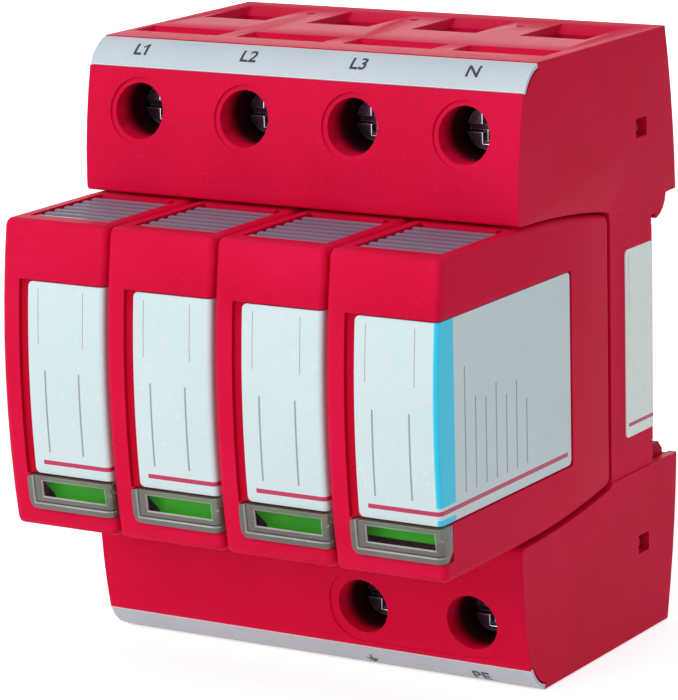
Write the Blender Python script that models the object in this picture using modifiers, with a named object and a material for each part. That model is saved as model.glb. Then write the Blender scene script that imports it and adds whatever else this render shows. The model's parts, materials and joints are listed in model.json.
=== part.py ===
"""A four-pole surge arrester for a 35 mm rail: a base with screw terminals and four plug-in modules.

Metres, Z up, with the origin on the ground under the middle of the part. X runs along the rail, and
the fronts of the modules look along -Y. Shapes are drawn about the middle of the rail seat: an outline
gives a point's depth, its distance in front of the seat, and its height above the rail's centre line.
"""

import math

import bmesh
import bpy
from mathutils import Matrix, Vector

MM = 0.001

# Overall sizes and the clearances that every fit uses
POLES = 4
POLE_PITCH = 18.0 * MM
HEIGHT = 90.0 * MM
FIT_GAP = 0.3 * MM
SNUG_GAP = 0.2 * MM
EDGE_ROUND = 0.3 * MM

# The rail that the base hangs on
RAIL_HEIGHT = 35.0 * MM
RAIL_PLAY = 0.15 * MM
SEAT_MARGIN = 1.3 * MM
SEAT_PROUD = 0.15 * MM

# Terminal blocks, above and below the modules
BLOCK_FRONT = 41.0 * MM
BLOCK_CHIN = 2.0 * MM
BLOCK_CHIN_ROUND = 0.8 * MM
BROW_DROP = 1.9 * MM
BROW_BOW = 0.43 * MM
BACK_REACH = 7.4 * MM
BACK_REACH_OUTER = 4.2 * MM
BACK_BOW = 0.57 * MM
WALL_SIDE = 1.3 * MM
WALL_TOP = 2.0 * MM
WALL_UNDER = 1.4 * MM
WAIST_STEP = 0.25 * MM

# Marking strips on the curved edges of the blocks
STRIP_HEIGHT = 3.8 * MM
STRIP_DEPTH = 4.2 * MM
STRIP_BOW = 0.65 * MM
STRIP_THICKNESS = 0.7 * MM

# Openings of a terminal
FUNNEL_WIDTH = 10.8 * MM
FUNNEL_FRONT = 13.1 * MM
FUNNEL_BACK = -0.2 * MM
FUNNEL_SLOPE = 1.2 * MM
WIRE_WIDTH = 10.2 * MM
ENTRY_SHIFT = 0.4 * MM
WIRE_FRONT = 10.7 * MM
WIRE_BACK = 1.9 * MM
COMB_WALL = 3.2 * MM
COMB_FRONT = 29.4 * MM
COMB_BACK = 24.0 * MM
COMB_DEEP = 3.0 * MM
COMB_DRAFT = 0.9 * MM
COMB_ROOF = 4.5 * MM
DOT_RADIUS = 0.75 * MM
DOT_DEEP = 0.6 * MM
DOT_DEPTH = 4.3 * MM
DOT_SHIFT = 1.3 * MM
DRIVER_SHARE = 0.5475
DRIVER_RADIUS = 4.1 * MM
RING_RADIUS = 4.9 * MM
RING_DEEP = 0.35 * MM
PANEL_CLEAR = 0.7 * MM
PANEL_DEEP = 0.3 * MM
SEAT_WALL_FRONT = 31.0 * MM
SEAT_WALL = 1.4 * MM
CHAMBER_WALL = 3.0 * MM
WALL_STEP = 0.2 * MM
BAY_FLOOR = 13.3 * MM
BAY_WALL = 2.0 * MM
BAY_CORNER = 1.5 * MM

# Terminal screw and its box clamp
SCREW_RADIUS = 2.5 * MM
HEAD_RADIUS = 3.4 * MM
HEAD_HEIGHT = 2.3 * MM
HEAD_CROWN = 0.4 * MM
HEAD_SLOT = 1.0 * MM
HEAD_SLOT_DEEP = 1.3 * MM
HEAD_CROSS_REACH = 2.1 * MM
CLAMP_WIDTH = 12.4 * MM
CLAMP_TALL = 8.0 * MM
CLAMP_SIDE = 1.0 * MM
CLAMP_NUT = 2.5 * MM
CLAMP_BACK = 1.4 * MM
CLAMP_FRONT = 24.4 * MM
CLAMP_LENGTH = 22.2 * MM
CLAMP_CORNER = 0.9 * MM
SERRATION = 0.4 * MM

# Contact bars and the forks that grip the blades
BAR_THICKNESS = 1.5 * MM
BAR_WIDTH = 7.0 * MM
TONGUE_DEPTH = 13.0 * MM
TONGUE_PAST = 3.6 * MM
FORK_MARGIN = 9.5 * MM
FORK_REACH = 6.5 * MM
FORK_WALL = 1.2 * MM
LINK_TALL = 5.0 * MM
EARTH_LINK_STEP = 8.4 * MM
EARTH_LINK_TALL = 3.6 * MM

# Rear cover
COVER_PLATE = 1.6 * MM
COVER_FRONT_UPPER = -1.0 * MM
HOOK_CATCH = 0.75 * MM
HOOK_SLOT = 1.3 * MM
HOOK_LENGTH = 3.4 * MM
HOOK_RISE = 3.3 * MM
HOOK_BELLY = 0.7 * MM
HOOK_TIP_FLAT = 0.4 * MM
RECESS_MARGIN = 2.3 * MM
HOOK_MARGIN = 2.9 * MM
COVER_RIB = 2.2 * MM
COVER_SKIN = 1.4 * MM
PANEL_SUNK = 0.5 * MM
PANEL_MARGIN = 1.4 * MM
LUG_LENGTH = 1.9 * MM
LUG_MARGIN = 0.3 * MM
SNAP_STEP = 3.8 * MM
SNAP_TALL = 2.8 * MM
SNAP_FRONT = 5.3 * MM
SNAP_LENGTH = 3.4 * MM
SNAP_ARM = 1.1 * MM
SNAP_TONGUE = 1.2 * MM

# Rail feet
FOOT_FROM_SIDE = 8.9 * MM
FOOT_WIDTH = 12.4 * MM
FOOT_RAIL = 1.0 * MM
FOOT_RAIL_THICK = 1.6 * MM
FOOT_FRONT = 1.35 * MM
FOOT_CATCH = 0.9 * MM
FOOT_NOSE_WIDTH = 9.0 * MM
FOOT_SHOULDER = 0.4 * MM
FOOT_TIP_FLAT = 0.9 * MM
FOOT_BOTTOM = 0.8 * MM
FOOT_SLOT_WIDTH = 4.6 * MM
FOOT_SLOT_TALL = 2.4 * MM
FOOT_SLOT_HEIGHT = 2.6 * MM
FOOT_BRIDGE = 3.3 * MM
SPRING_WIRE = 0.5 * MM
SPRING_OUTER = 3.8 * MM
SPRING_PITCH = 1.8 * MM
SPRING_DROP = 0.1786
SPRING_LUG = 1.8 * MM

# Plug-in modules
MODULE_GAP = 0.4 * MM
MODULE_HALF_HEIGHT = 22.5 * MM
MODULE_CROWN = 63.9 * MM
BARREL_RADIUS = 134.0 * MM
TAPER_START = 41.1 * MM
TAPER_RADIUS = 151.0 * MM
MODULE_EDGE = 1.1 * MM
MODULE_REAR_EDGE = 1.2 * MM
MODULE_SIDE_ROUND = 1.0 * MM
BAY_GAP = 0.4 * MM
CAP_WALL = 1.2 * MM
CAP_FRONT_WALL = 1.6 * MM
PLATE_THICKNESS = 2.0 * MM
PLATE_INSET = 0.3 * MM
BLADE_THICKNESS = 1.2 * MM
BLADE_TALL = 6.0 * MM
BLADE_OUT = 9.1 * MM
BLADE_IN = 4.0 * MM

# Label pocket, which wraps round the right-hand edge of a module
LABEL_LEFT = 3.3 * MM
LABEL_FROM_TOP = 8.4 * MM
LABEL_FROM_FOOT = 8.1 * MM
LABEL_DEEP = 0.5 * MM
LABEL_SIDE_BACK = 25.3 * MM
LABEL_CORNER = 0.8 * MM

# Clear window over the status flag
WINDOW_LEFT = 3.6 * MM
WINDOW_FROM_FOOT = 3.0 * MM
WINDOW_TALL = 5.0 * MM
WINDOW_PROUD = 0.6 * MM
WINDOW_BACK = 60.2 * MM
WINDOW_CORNER = 1.2 * MM
WINDOW_SIDE_CUT = 1.8 * MM
PANE_LEFT = 5.9 * MM
PANE_FROM_RIGHT = 1.1 * MM
PANE_FROM_FOOT = 4.8 * MM
PANE_TALL = 2.6 * MM
PANE_THICKNESS = 0.9 * MM

# Status flag
FLAG_DEPTH = 59.1 * MM
FLAG_THICKNESS = 0.7 * MM
FLAG_OVERLAP = 0.9 * MM
FLAG_PAST = 1.6 * MM
FLAG_STEM_WIDTH = 2.4 * MM
FLAG_STEM_TALL = 6.0 * MM
FLAG_BEVEL = 2.3 * MM
GAP_FLAG_TALL = 2.2 * MM
TARGET_DEPTH = 57.6 * MM
TARGET_WALL = 1.0 * MM

# Ribbed release button on top of a module
BUTTON_LEFT = 2.5 * MM
BUTTON_FROM_RIGHT = 1.8 * MM
BUTTON_FRONT = 59.0 * MM
BUTTON_BACK = 42.1 * MM
BUTTON_NOTCH = 1.1 * MM
BUTTON_SUNK = 0.2 * MM
BUTTON_THICK = 2.3 * MM
BUTTON_RIBS = 7
RIB_TALL = 0.55 * MM
LATCH_ARM = 1.2 * MM
LATCH_WIDTH = 6.0 * MM
LATCH_REACH = 6.4 * MM
LATCH_NOSE = 2.4 * MM
LATCH_SUNK = 0.35 * MM
LATCH_POCKET_DEEP = 0.9 * MM

# What a module holds
ELEMENT_FRONT = 55.6 * MM
ELEMENT_MARGIN = 6.0 * MM
ELEMENT_EDGE = 1.5 * MM
CAPSULE_RADIUS = 7.2 * MM
CAPSULE_WAIST = 6.3 * MM
CAPSULE_FLANGE = 2.6 * MM
CAPSULE_RIDGES = 4

# How finely curves are drawn, and how far a sink's cutter stands out, as a share of its depth
ROUND_STEPS = 24
SIDE_ROUND_STEPS = 3
CUTTER_PAST = 0.1
SMOOTH_ANGLE = math.radians(32.0)

# Sizes that follow from those above
WIDTH = POLES * POLE_PITCH
TOP = HEIGHT / 2
MODULE_WIDTH = POLE_PITCH - MODULE_GAP
MODULE_LEFT = -MODULE_WIDTH / 2
MODULE_RIGHT = MODULE_WIDTH / 2
SEAT_HALF = RAIL_HEIGHT / 2 - SEAT_MARGIN
RECESS_BELOW = RAIL_HEIGHT / 2 + RECESS_MARGIN
BLOCK_INNER = RAIL_HEIGHT / 2 + HOOK_MARGIN
LUG_TOP = -RAIL_HEIGHT / 2 - LUG_MARGIN
HOOK_TOP = RAIL_HEIGHT / 2 + RAIL_PLAY
HOOK_TIP = HOOK_TOP - HOOK_CATCH
CHAMBER_FRONT = SEAT_WALL_FRONT - SEAT_WALL
CHAMBER_TOP = TOP - WALL_TOP
INSIDE_HALF = WIDTH / 2 - WALL_SIDE
FOOT_OFFSET = INSIDE_HALF - FOOT_FROM_SIDE
CHAMBER_WIDTH = POLE_PITCH - CHAMBER_WALL
COMB_WIDTH = POLE_PITCH - COMB_WALL
MODULE_BACK = BAY_FLOOR + FIT_GAP
PANE_RIGHT = POLE_PITCH / 2 - PANE_FROM_RIGHT
BUTTON_RIGHT = POLE_PITCH / 2 - BUTTON_FROM_RIGHT
BLOCK_FOOT = MODULE_HALF_HEIGHT + BAY_GAP
CHAMBER_FLOOR = BLOCK_FOOT + WALL_UNDER
DRIVER_HEIGHT = BLOCK_FOOT + DRIVER_SHARE * (TOP - BLOCK_FOOT)
PANEL_HALF = TOP - STRIP_HEIGHT - PANEL_CLEAR - DRIVER_HEIGHT
SNAP_HEIGHT = DRIVER_HEIGHT - SNAP_STEP
FORK_HEIGHT = MODULE_HALF_HEIGHT - FORK_MARGIN
EARTH_LINK_HEIGHT = FORK_HEIGHT + EARTH_LINK_STEP
FOOT_SLOT_TOP = TOP - FOOT_BOTTOM - FOOT_SLOT_HEIGHT - FOOT_SLOT_TALL
SPRING_TOP = -RECESS_BELOW - SPRING_DROP * (TOP - RECESS_BELOW)
SPRING_LENGTH = SPRING_TOP + FOOT_SLOT_TOP - FOOT_BRIDGE - SPRING_LUG - 2 * FIT_GAP
SPRING_TURNS = max(round(SPRING_LENGTH / SPRING_PITCH), 1)
LABEL_TOP = MODULE_HALF_HEIGHT - LABEL_FROM_TOP
LABEL_BOTTOM = LABEL_FROM_FOOT - MODULE_HALF_HEIGHT
WINDOW_BOTTOM = WINDOW_FROM_FOOT - MODULE_HALF_HEIGHT
WINDOW_TOP = WINDOW_BOTTOM + WINDOW_TALL
PANE_BOTTOM = PANE_FROM_FOOT - MODULE_HALF_HEIGHT
PANE_TOP = PANE_BOTTOM + PANE_TALL
ELEMENT_TALL = 2 * (MODULE_HALF_HEIGHT - ELEMENT_MARGIN)
RAIL_SEAT = Vector((0.0, (MODULE_CROWN - BACK_REACH) / 2, TOP))
LOWER_POLES = (2, 3)


def pole_x(pole):
    return (pole - (POLES - 1) / 2) * POLE_PITCH


def local_x(from_left):
    """A place measured from the left edge of a pole's 18 mm pitch, as an X about its centre."""
    return from_left - POLE_PITCH / 2


for old in list(bpy.data.objects):
    bpy.data.objects.remove(old, do_unlink=True)

ARRESTER = bpy.data.collections.new("din_rail_surge_arrester")
SHOP = bpy.data.collections.new("blanks_and_cutters")
for group in (ARRESTER, SHOP):
    bpy.context.scene.collection.children.link(group)


def paint(name, colour, roughness, metallic=0.0, alpha=1.0):
    """A plain finish for one kind of piece."""
    finish = bpy.data.materials.new(name)
    finish.use_nodes = True
    shader = finish.node_tree.nodes["Principled BSDF"]
    shader.inputs["Base Color"].default_value = (*colour, 1.0)
    shader.inputs["Roughness"].default_value = roughness
    shader.inputs["Metallic"].default_value = metallic
    shader.inputs["Alpha"].default_value = alpha
    return finish


RED_PLASTIC = paint("red_plastic", (0.62, 0.012, 0.035), 0.5)
DARK_RED_PLASTIC = paint("dark_red_plastic", (0.36, 0.008, 0.02), 0.55)
GREY_STRIP = paint("grey_strip", (0.62, 0.66, 0.69), 0.45)
BUTTON_GREY = paint("button_grey", (0.23, 0.22, 0.26), 0.5)
CLEAR_PLASTIC = paint("clear_plastic", (0.85, 0.88, 0.86), 0.1, alpha=0.35)
FLAG_GREEN = paint("flag_green", (0.09, 0.36, 0.03), 0.45)
SCREW_STEEL = paint("screw_steel", (0.55, 0.55, 0.57), 0.3, 1.0)
CLAMP_STEEL = paint("clamp_steel", (0.6, 0.59, 0.55), 0.35, 1.0)
TINNED_COPPER = paint("tinned_copper", (0.66, 0.6, 0.52), 0.35, 1.0)
SPRING_STEEL = paint("spring_steel", (0.4, 0.4, 0.42), 0.3, 1.0)
ELEMENT_BLUE = paint("element_blue", (0.06, 0.12, 0.3), 0.5)
CERAMIC = paint("ceramic", (0.8, 0.79, 0.74), 0.4)


def in_shop(mesh):
    """A working object for a mesh or a curve, out of every render."""
    blank = bpy.data.objects.new("blank", mesh)
    SHOP.objects.link(blank)
    blank.hide_render = True
    blank.display_type = "WIRE"
    return blank


def scrap(blank):
    data = blank.data
    bpy.data.objects.remove(blank, do_unlink=True)
    if isinstance(data, bpy.types.Mesh):
        bpy.data.meshes.remove(data)
    else:
        bpy.data.curves.remove(data)


def baked(blank):
    """The blank again, as a plain welded mesh with its curve or modifiers worked out."""
    graph = bpy.context.evaluated_depsgraph_get()
    mesh = bpy.data.meshes.new_from_object(blank.evaluated_get(graph))
    shape = bmesh.new()
    shape.from_mesh(mesh)
    bmesh.ops.transform(shape, matrix=blank.matrix_world, verts=shape.verts)
    bmesh.ops.remove_doubles(shape, verts=shape.verts, dist=0.001 * MM)
    shape.to_mesh(mesh)
    shape.free()
    scrap(blank)
    return in_shop(mesh)


# How an outline's two directions and its thickness lie in the world
THROUGH_X = Matrix(((0, 0, -1), (-1, 0, 0), (0, 1, 0))).to_4x4()
THROUGH_DEPTH = Matrix(((1, 0, 0), (0, 0, -1), (0, 1, 0))).to_4x4()
THROUGH_Z = Matrix(((1, 0, 0), (0, -1, 0), (0, 0, -1))).to_4x4()


def prism(facing, outline, low, high):
    """A flat outline made solid between two places along X, depth or Z.

    Through X the outline is (depth, z), through depth it is (x, z), and through Z (x, depth).
    """
    curve = bpy.data.curves.new("outline", "CURVE")
    curve.dimensions = "2D"
    curve.fill_mode = "BOTH"
    curve.extrude = (high - low) / 2
    line = curve.splines.new("POLY")
    line.points.add(len(outline) - 1)
    for point, (across, up) in zip(line.points, outline):
        point.co = (across, up, 0.0, 1.0)
    line.use_cyclic_u = True
    blank = in_shop(curve)
    middle = (low + high) / 2
    side = middle if facing is THROUGH_DEPTH else -middle
    blank.matrix_world = facing @ Matrix.Translation((0.0, 0.0, side))
    blank = baked(blank)
    shape = bmesh.new()
    shape.from_mesh(blank.data)
    bmesh.ops.dissolve_limit(shape, angle_limit=math.radians(0.2), verts=shape.verts, edges=shape.edges)
    bmesh.ops.recalc_face_normals(shape, faces=shape.faces)
    shape.to_mesh(blank.data)
    shape.free()
    return blank


def box(x, depth, z):
    """A block between two values of X, depth and Z."""
    mesh = bpy.data.meshes.new("box")
    shape = bmesh.new()
    bmesh.ops.create_cube(shape, size=1.0)
    size = Vector((x[1] - x[0], depth[1] - depth[0], z[1] - z[0]))
    middle = Vector((sum(x) / 2, -sum(depth) / 2, sum(z) / 2))
    bmesh.ops.scale(shape, vec=size, verts=shape.verts)
    bmesh.ops.translate(shape, vec=middle, verts=shape.verts)
    shape.to_mesh(mesh)
    shape.free()
    return in_shop(mesh)


def hopper(x, wide, narrow, drop):
    """A sink in the top of the upper block: a wide opening that slopes to a narrow one, given as
    (width, front, back), down to a drop under the top. It stands a little out of the top to cut cleanly.
    """
    mesh = bpy.data.meshes.new("hopper")
    shape = bmesh.new()
    bmesh.ops.create_cube(shape, size=1.0)
    for vert in shape.verts:
        rise = 1.0 + CUTTER_PAST if vert.co.z > 0.0 else 0.0
        width, front, back = (low + (high - low) * rise for low, high in zip(narrow, wide))
        depth = front if vert.co.y < 0.0 else back
        height = TOP + drop * (rise - 1.0)
        vert.co = (x + math.copysign(width / 2, vert.co.x), -depth, height)
    shape.to_mesh(mesh)
    shape.free()
    return in_shop(mesh)


def rod(x, z, radius, low, high, steps=ROUND_STEPS):
    """A round bar along the depth, with a flat side of its polygon underneath."""
    mesh = bpy.data.meshes.new("rod")
    shape = bmesh.new()
    place = Matrix.Translation((x, -(low + high) / 2, z)) @ Matrix.Rotation(math.pi / 2, 4, "X")
    bmesh.ops.create_cone(
        shape, cap_ends=True, segments=steps, radius1=radius, radius2=radius, depth=high - low, matrix=place
    )
    shape.to_mesh(mesh)
    shape.free()
    return in_shop(mesh)


def turned(profile, steps=ROUND_STEPS):
    """A body turned about the depth axis from (radius, depth) points, front end first."""
    mesh = bpy.data.meshes.new("profile")
    points = [(radius, 0.0, depth) for radius, depth in profile]
    mesh.from_pydata(points, [(i, i + 1) for i in range(len(points) - 1)], [])
    blank = in_shop(mesh)
    lathe = blank.modifiers.new("lathe", "SCREW")
    lathe.axis = "Z"
    lathe.steps = steps
    lathe.render_steps = steps
    lathe.use_merge_vertices = True
    lathe.merge_threshold = 0.01 * MM
    blank.matrix_world = Matrix.Rotation(math.pi / 2, 4, "X")
    blank = baked(blank)
    shape = bmesh.new()
    shape.from_mesh(blank.data)
    bmesh.ops.recalc_face_normals(shape, faces=shape.faces)
    shape.to_mesh(blank.data)
    shape.free()
    return blank


def worked(blank, join=(), cut=(), keep=()):
    """Joins blanks to this one, cuts others from it, trims it to the last ones, and uses them up."""
    for operation, tools in (("UNION", join), ("DIFFERENCE", cut), ("INTERSECT", keep)):
        for tool in tools:
            step = blank.modifiers.new(operation.lower(), "BOOLEAN")
            step.operation = operation
            step.solver = "EXACT"
            step.object = tool
    result = baked(blank)
    for tool in (*join, *cut, *keep):
        scrap(tool)
    return result


def rounded_ends(blank, size, steps=1):
    """Rounds the edges where a prism through X meets its two flat ends."""
    shape = bmesh.new()
    shape.from_mesh(blank.data)
    ends = [min(v.co.x for v in shape.verts), max(v.co.x for v in shape.verts)]
    rims = []
    for edge in shape.edges:
        at_end = any(all(abs(v.co.x - end) < 0.001 * MM for v in edge.verts) for end in ends)
        if at_end and edge.calc_face_angle(0.0) > math.radians(20.0):
            rims.append(edge)
    bmesh.ops.bevel(
        shape, geom=rims, offset=size, segments=steps, profile=0.5, affect="EDGES", clamp_overlap=True
    )
    shape.to_mesh(blank.data)
    shape.free()
    return blank


def filleted(corners, steps=3):
    """An outline from (a, b, radius) corners, with an arc in place of each corner that has a radius."""
    outline = []
    for i, (a, b, radius) in enumerate(corners):
        here = Vector((a, b))
        if radius <= 0.0:
            outline.append((a, b))
            continue
        before = Vector(corners[i - 1][:2]) - here
        after = Vector(corners[(i + 1) % len(corners)][:2]) - here
        half = before.angle(after) / 2
        middle = here + (before.normalized() + after.normalized()).normalized() * (radius / math.sin(half))
        start = here + before.normalized() * (radius / math.tan(half)) - middle
        end = here + after.normalized() * (radius / math.tan(half)) - middle
        sweep = end.angle_signed(start)
        for k in range(steps + 1):
            spoke = start.copy()
            spoke.rotate(Matrix.Rotation(sweep * k / steps, 2))
            outline.append(tuple(middle + spoke))
    return outline


def bowed(start, end, rise, steps):
    """Points from start to end along a shallow arc that rises to the left of the way, ends included."""
    start, end = Vector(start), Vector(end)
    along = end - start
    left = Vector((-along.y, along.x)).normalized()
    points = []
    for k in range(steps + 1):
        t = k / steps
        points.append(tuple(start + along * t + left * (4.0 * rise * t * (1.0 - t))))
    return points


def corners_of(points, radius=0.0):
    return [(a, b, radius) for a, b in points]


def offset_line(points, distance):
    """An open line moved sideways by a distance, to the left of its way, with mitred corners."""
    moved = []
    for i, point in enumerate(points):
        ways = []
        if i > 0:
            ways.append((Vector(point) - Vector(points[i - 1])).normalized())
        if i < len(points) - 1:
            ways.append((Vector(points[i + 1]) - Vector(point)).normalized())
        lefts = [Vector((-way.y, way.x)) for way in ways]
        mitre = sum(lefts, Vector((0.0, 0.0))).normalized()
        moved.append(tuple(Vector(point) + mitre * (distance / mitre.dot(lefts[0]))))
    return moved


def thick_line(points, thickness):
    """The outline of a bent strip of an even thickness about an open line."""
    return offset_line(points, thickness / 2) + offset_line(points, -thickness / 2)[::-1]


def flipped(points):
    """The same outline upside down, in the order that keeps its inside on the same hand."""
    return [(depth, -z, *rest) for depth, z, *rest in reversed(points)]


def copy_of(blank):
    return in_shop(blank.data.copy())


def mirrored_in_z(blank):
    """A blank turned into its mirror image above and below the rail's centre line."""
    shape = bmesh.new()
    shape.from_mesh(blank.data)
    bmesh.ops.scale(shape, vec=(1.0, 1.0, -1.0), verts=shape.verts)
    bmesh.ops.reverse_faces(shape, faces=shape.faces)
    shape.to_mesh(blank.data)
    shape.free()
    return blank


def anchor(name, place):
    """An empty that carries the pieces of one moving body."""
    carrier = bpy.data.objects.new(name, None)
    carrier.empty_display_size = 5.0 * MM
    ARRESTER.objects.link(carrier)
    carrier.location = RAIL_SEAT + Vector(place)
    return carrier


def finished(name, mesh, finish, place=(0.0, 0.0, 0.0), parent=None):
    """A named piece of the arrester: a mesh about its own origin, put in its place on the rail."""
    piece = bpy.data.objects.new(name, mesh)
    ARRESTER.objects.link(piece)
    piece.location = RAIL_SEAT + Vector(place)
    if parent:
        piece.parent = parent
        piece.location -= parent.location
    mesh.name = name
    mesh.materials.clear()
    mesh.materials.append(finish)
    mesh.shade_smooth()
    mesh.set_sharp_from_angle(angle=SMOOTH_ANGLE)
    return piece


def mesh_of(blank, place=(0.0, 0.0, 0.0)):
    """Takes the finished mesh off its blank, measured from the place where its origin will be."""
    mesh = blank.data.copy()
    mesh.transform(Matrix.Translation(-Vector(place)))
    scrap(blank)
    return mesh


def module_half_height(depth):
    """Half the height of a module, which narrows towards its plug end."""
    into_taper = max(TAPER_START - depth, 0.0)
    return MODULE_HALF_HEIGHT - into_taper**2 / (2 * TAPER_RADIUS)


def barrel_depth(z, proud=0.0):
    """How far the rounded front of a module stands out at a height."""
    return MODULE_CROWN + proud - z**2 / (2 * BARREL_RADIUS)


def back_reach(z):
    """How far the back of a terminal block reaches past the rail seat at a height."""
    t = (abs(z) - BLOCK_INNER) / (TOP - BLOCK_INNER)
    return BACK_REACH + (BACK_REACH_OUTER - BACK_REACH) * t + 4.0 * BACK_BOW * t * (1.0 - t)


def back_line(low, high, steps):
    """Points up the bowed back of a block from one height to another."""
    heights = [low + (high - low) * k / steps for k in range(steps + 1)]
    return [(-back_reach(z), z) for z in heights]


def brow_line(sunk=0.0):
    """The curved front of the upper block, from its marking strip down to its chin."""
    chin = (BLOCK_FRONT, BLOCK_FOOT + BLOCK_CHIN)
    strip_foot = (BLOCK_FRONT - BROW_DROP, TOP - STRIP_HEIGHT)
    line = bowed(strip_foot, chin, BROW_BOW, 4)
    return offset_line(line, -sunk) if sunk else line


def strip_line(sunk):
    """The curved edge that a marking strip covers, or a line that far under it."""
    low = (BLOCK_FRONT - BROW_DROP, TOP - STRIP_HEIGHT)
    high = (low[0] - STRIP_DEPTH, TOP)
    return offset_line(bowed(high, low, STRIP_BOW, 5), -sunk)


def block_line():
    """The upper block's outline from its top back edge, over the front, to the middle of the bay."""
    seat = strip_line(STRIP_THICKNESS + FIT_GAP)
    edge = strip_line(0.0)
    underside = []
    for k in range(7):
        depth = TAPER_START + (BAY_FLOOR - TAPER_START) * k / 6
        if depth < BLOCK_FRONT - BLOCK_CHIN_ROUND * 2:
            underside.append((depth, module_half_height(depth) + BAY_GAP, 0.0))
    last = underside.pop()
    return (
        [(-BACK_REACH_OUTER, TOP, 0.0)]
        + corners_of([edge[0]] + seat + [edge[-1]])
        + corners_of(brow_line()[1:])
        + [(BLOCK_FRONT, BLOCK_FOOT, BLOCK_CHIN_ROUND)]
        + underside
        + [(*last[:2], BAY_CORNER)]
    )


def hook_line():
    """The fixed hook over the rail's upper edge, from the back of the block to the rail seat."""
    root = (-(HOOK_SLOT + HOOK_LENGTH), HOOK_TIP + HOOK_RISE)
    tip = (-HOOK_SLOT - HOOK_TIP_FLAT, HOOK_TIP)
    belly = bowed(root, tip, -HOOK_BELLY, 4)
    return belly + [(-HOOK_SLOT, HOOK_TIP), (-HOOK_SLOT, HOOK_TOP), (SEAT_PROUD, HOOK_TOP)]


def seat_line(foot):
    """The raised seat that the rail lies on, down to the foot of the recess."""
    return [
        (SEAT_PROUD, SEAT_HALF),
        (0.0, SEAT_HALF),
        (0.0, -SEAT_HALF),
        (SEAT_PROUD, -SEAT_HALF),
        (SEAT_PROUD, foot),
    ]


def rail_side_line():
    """The back of the base from the top of the upper block down to the foot of the lower one."""
    upper = back_line(TOP, BLOCK_INNER, 5)[1:]
    lower = back_line(-RECESS_BELOW, -TOP, 5)[:-1]
    return upper + hook_line() + seat_line(-RECESS_BELOW) + lower


def base_outline():
    front = block_line()
    return filleted(front + flipped(front) + corners_of(rail_side_line()[::-1]))


def without_repeats(points):
    """The outline without points that fall on their neighbour."""
    kept = []
    for point in points:
        if not kept or (Vector(point) - Vector(kept[-1])).length > 0.01 * MM:
            kept.append(point)
    return kept


def blade_slot(side, clear):
    """The low and high edge of the slot that an upper or a lower blade passes through."""
    half = BLADE_TALL / 2 + clear
    return (side * FORK_HEIGHT - half, side * FORK_HEIGHT + half)


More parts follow.
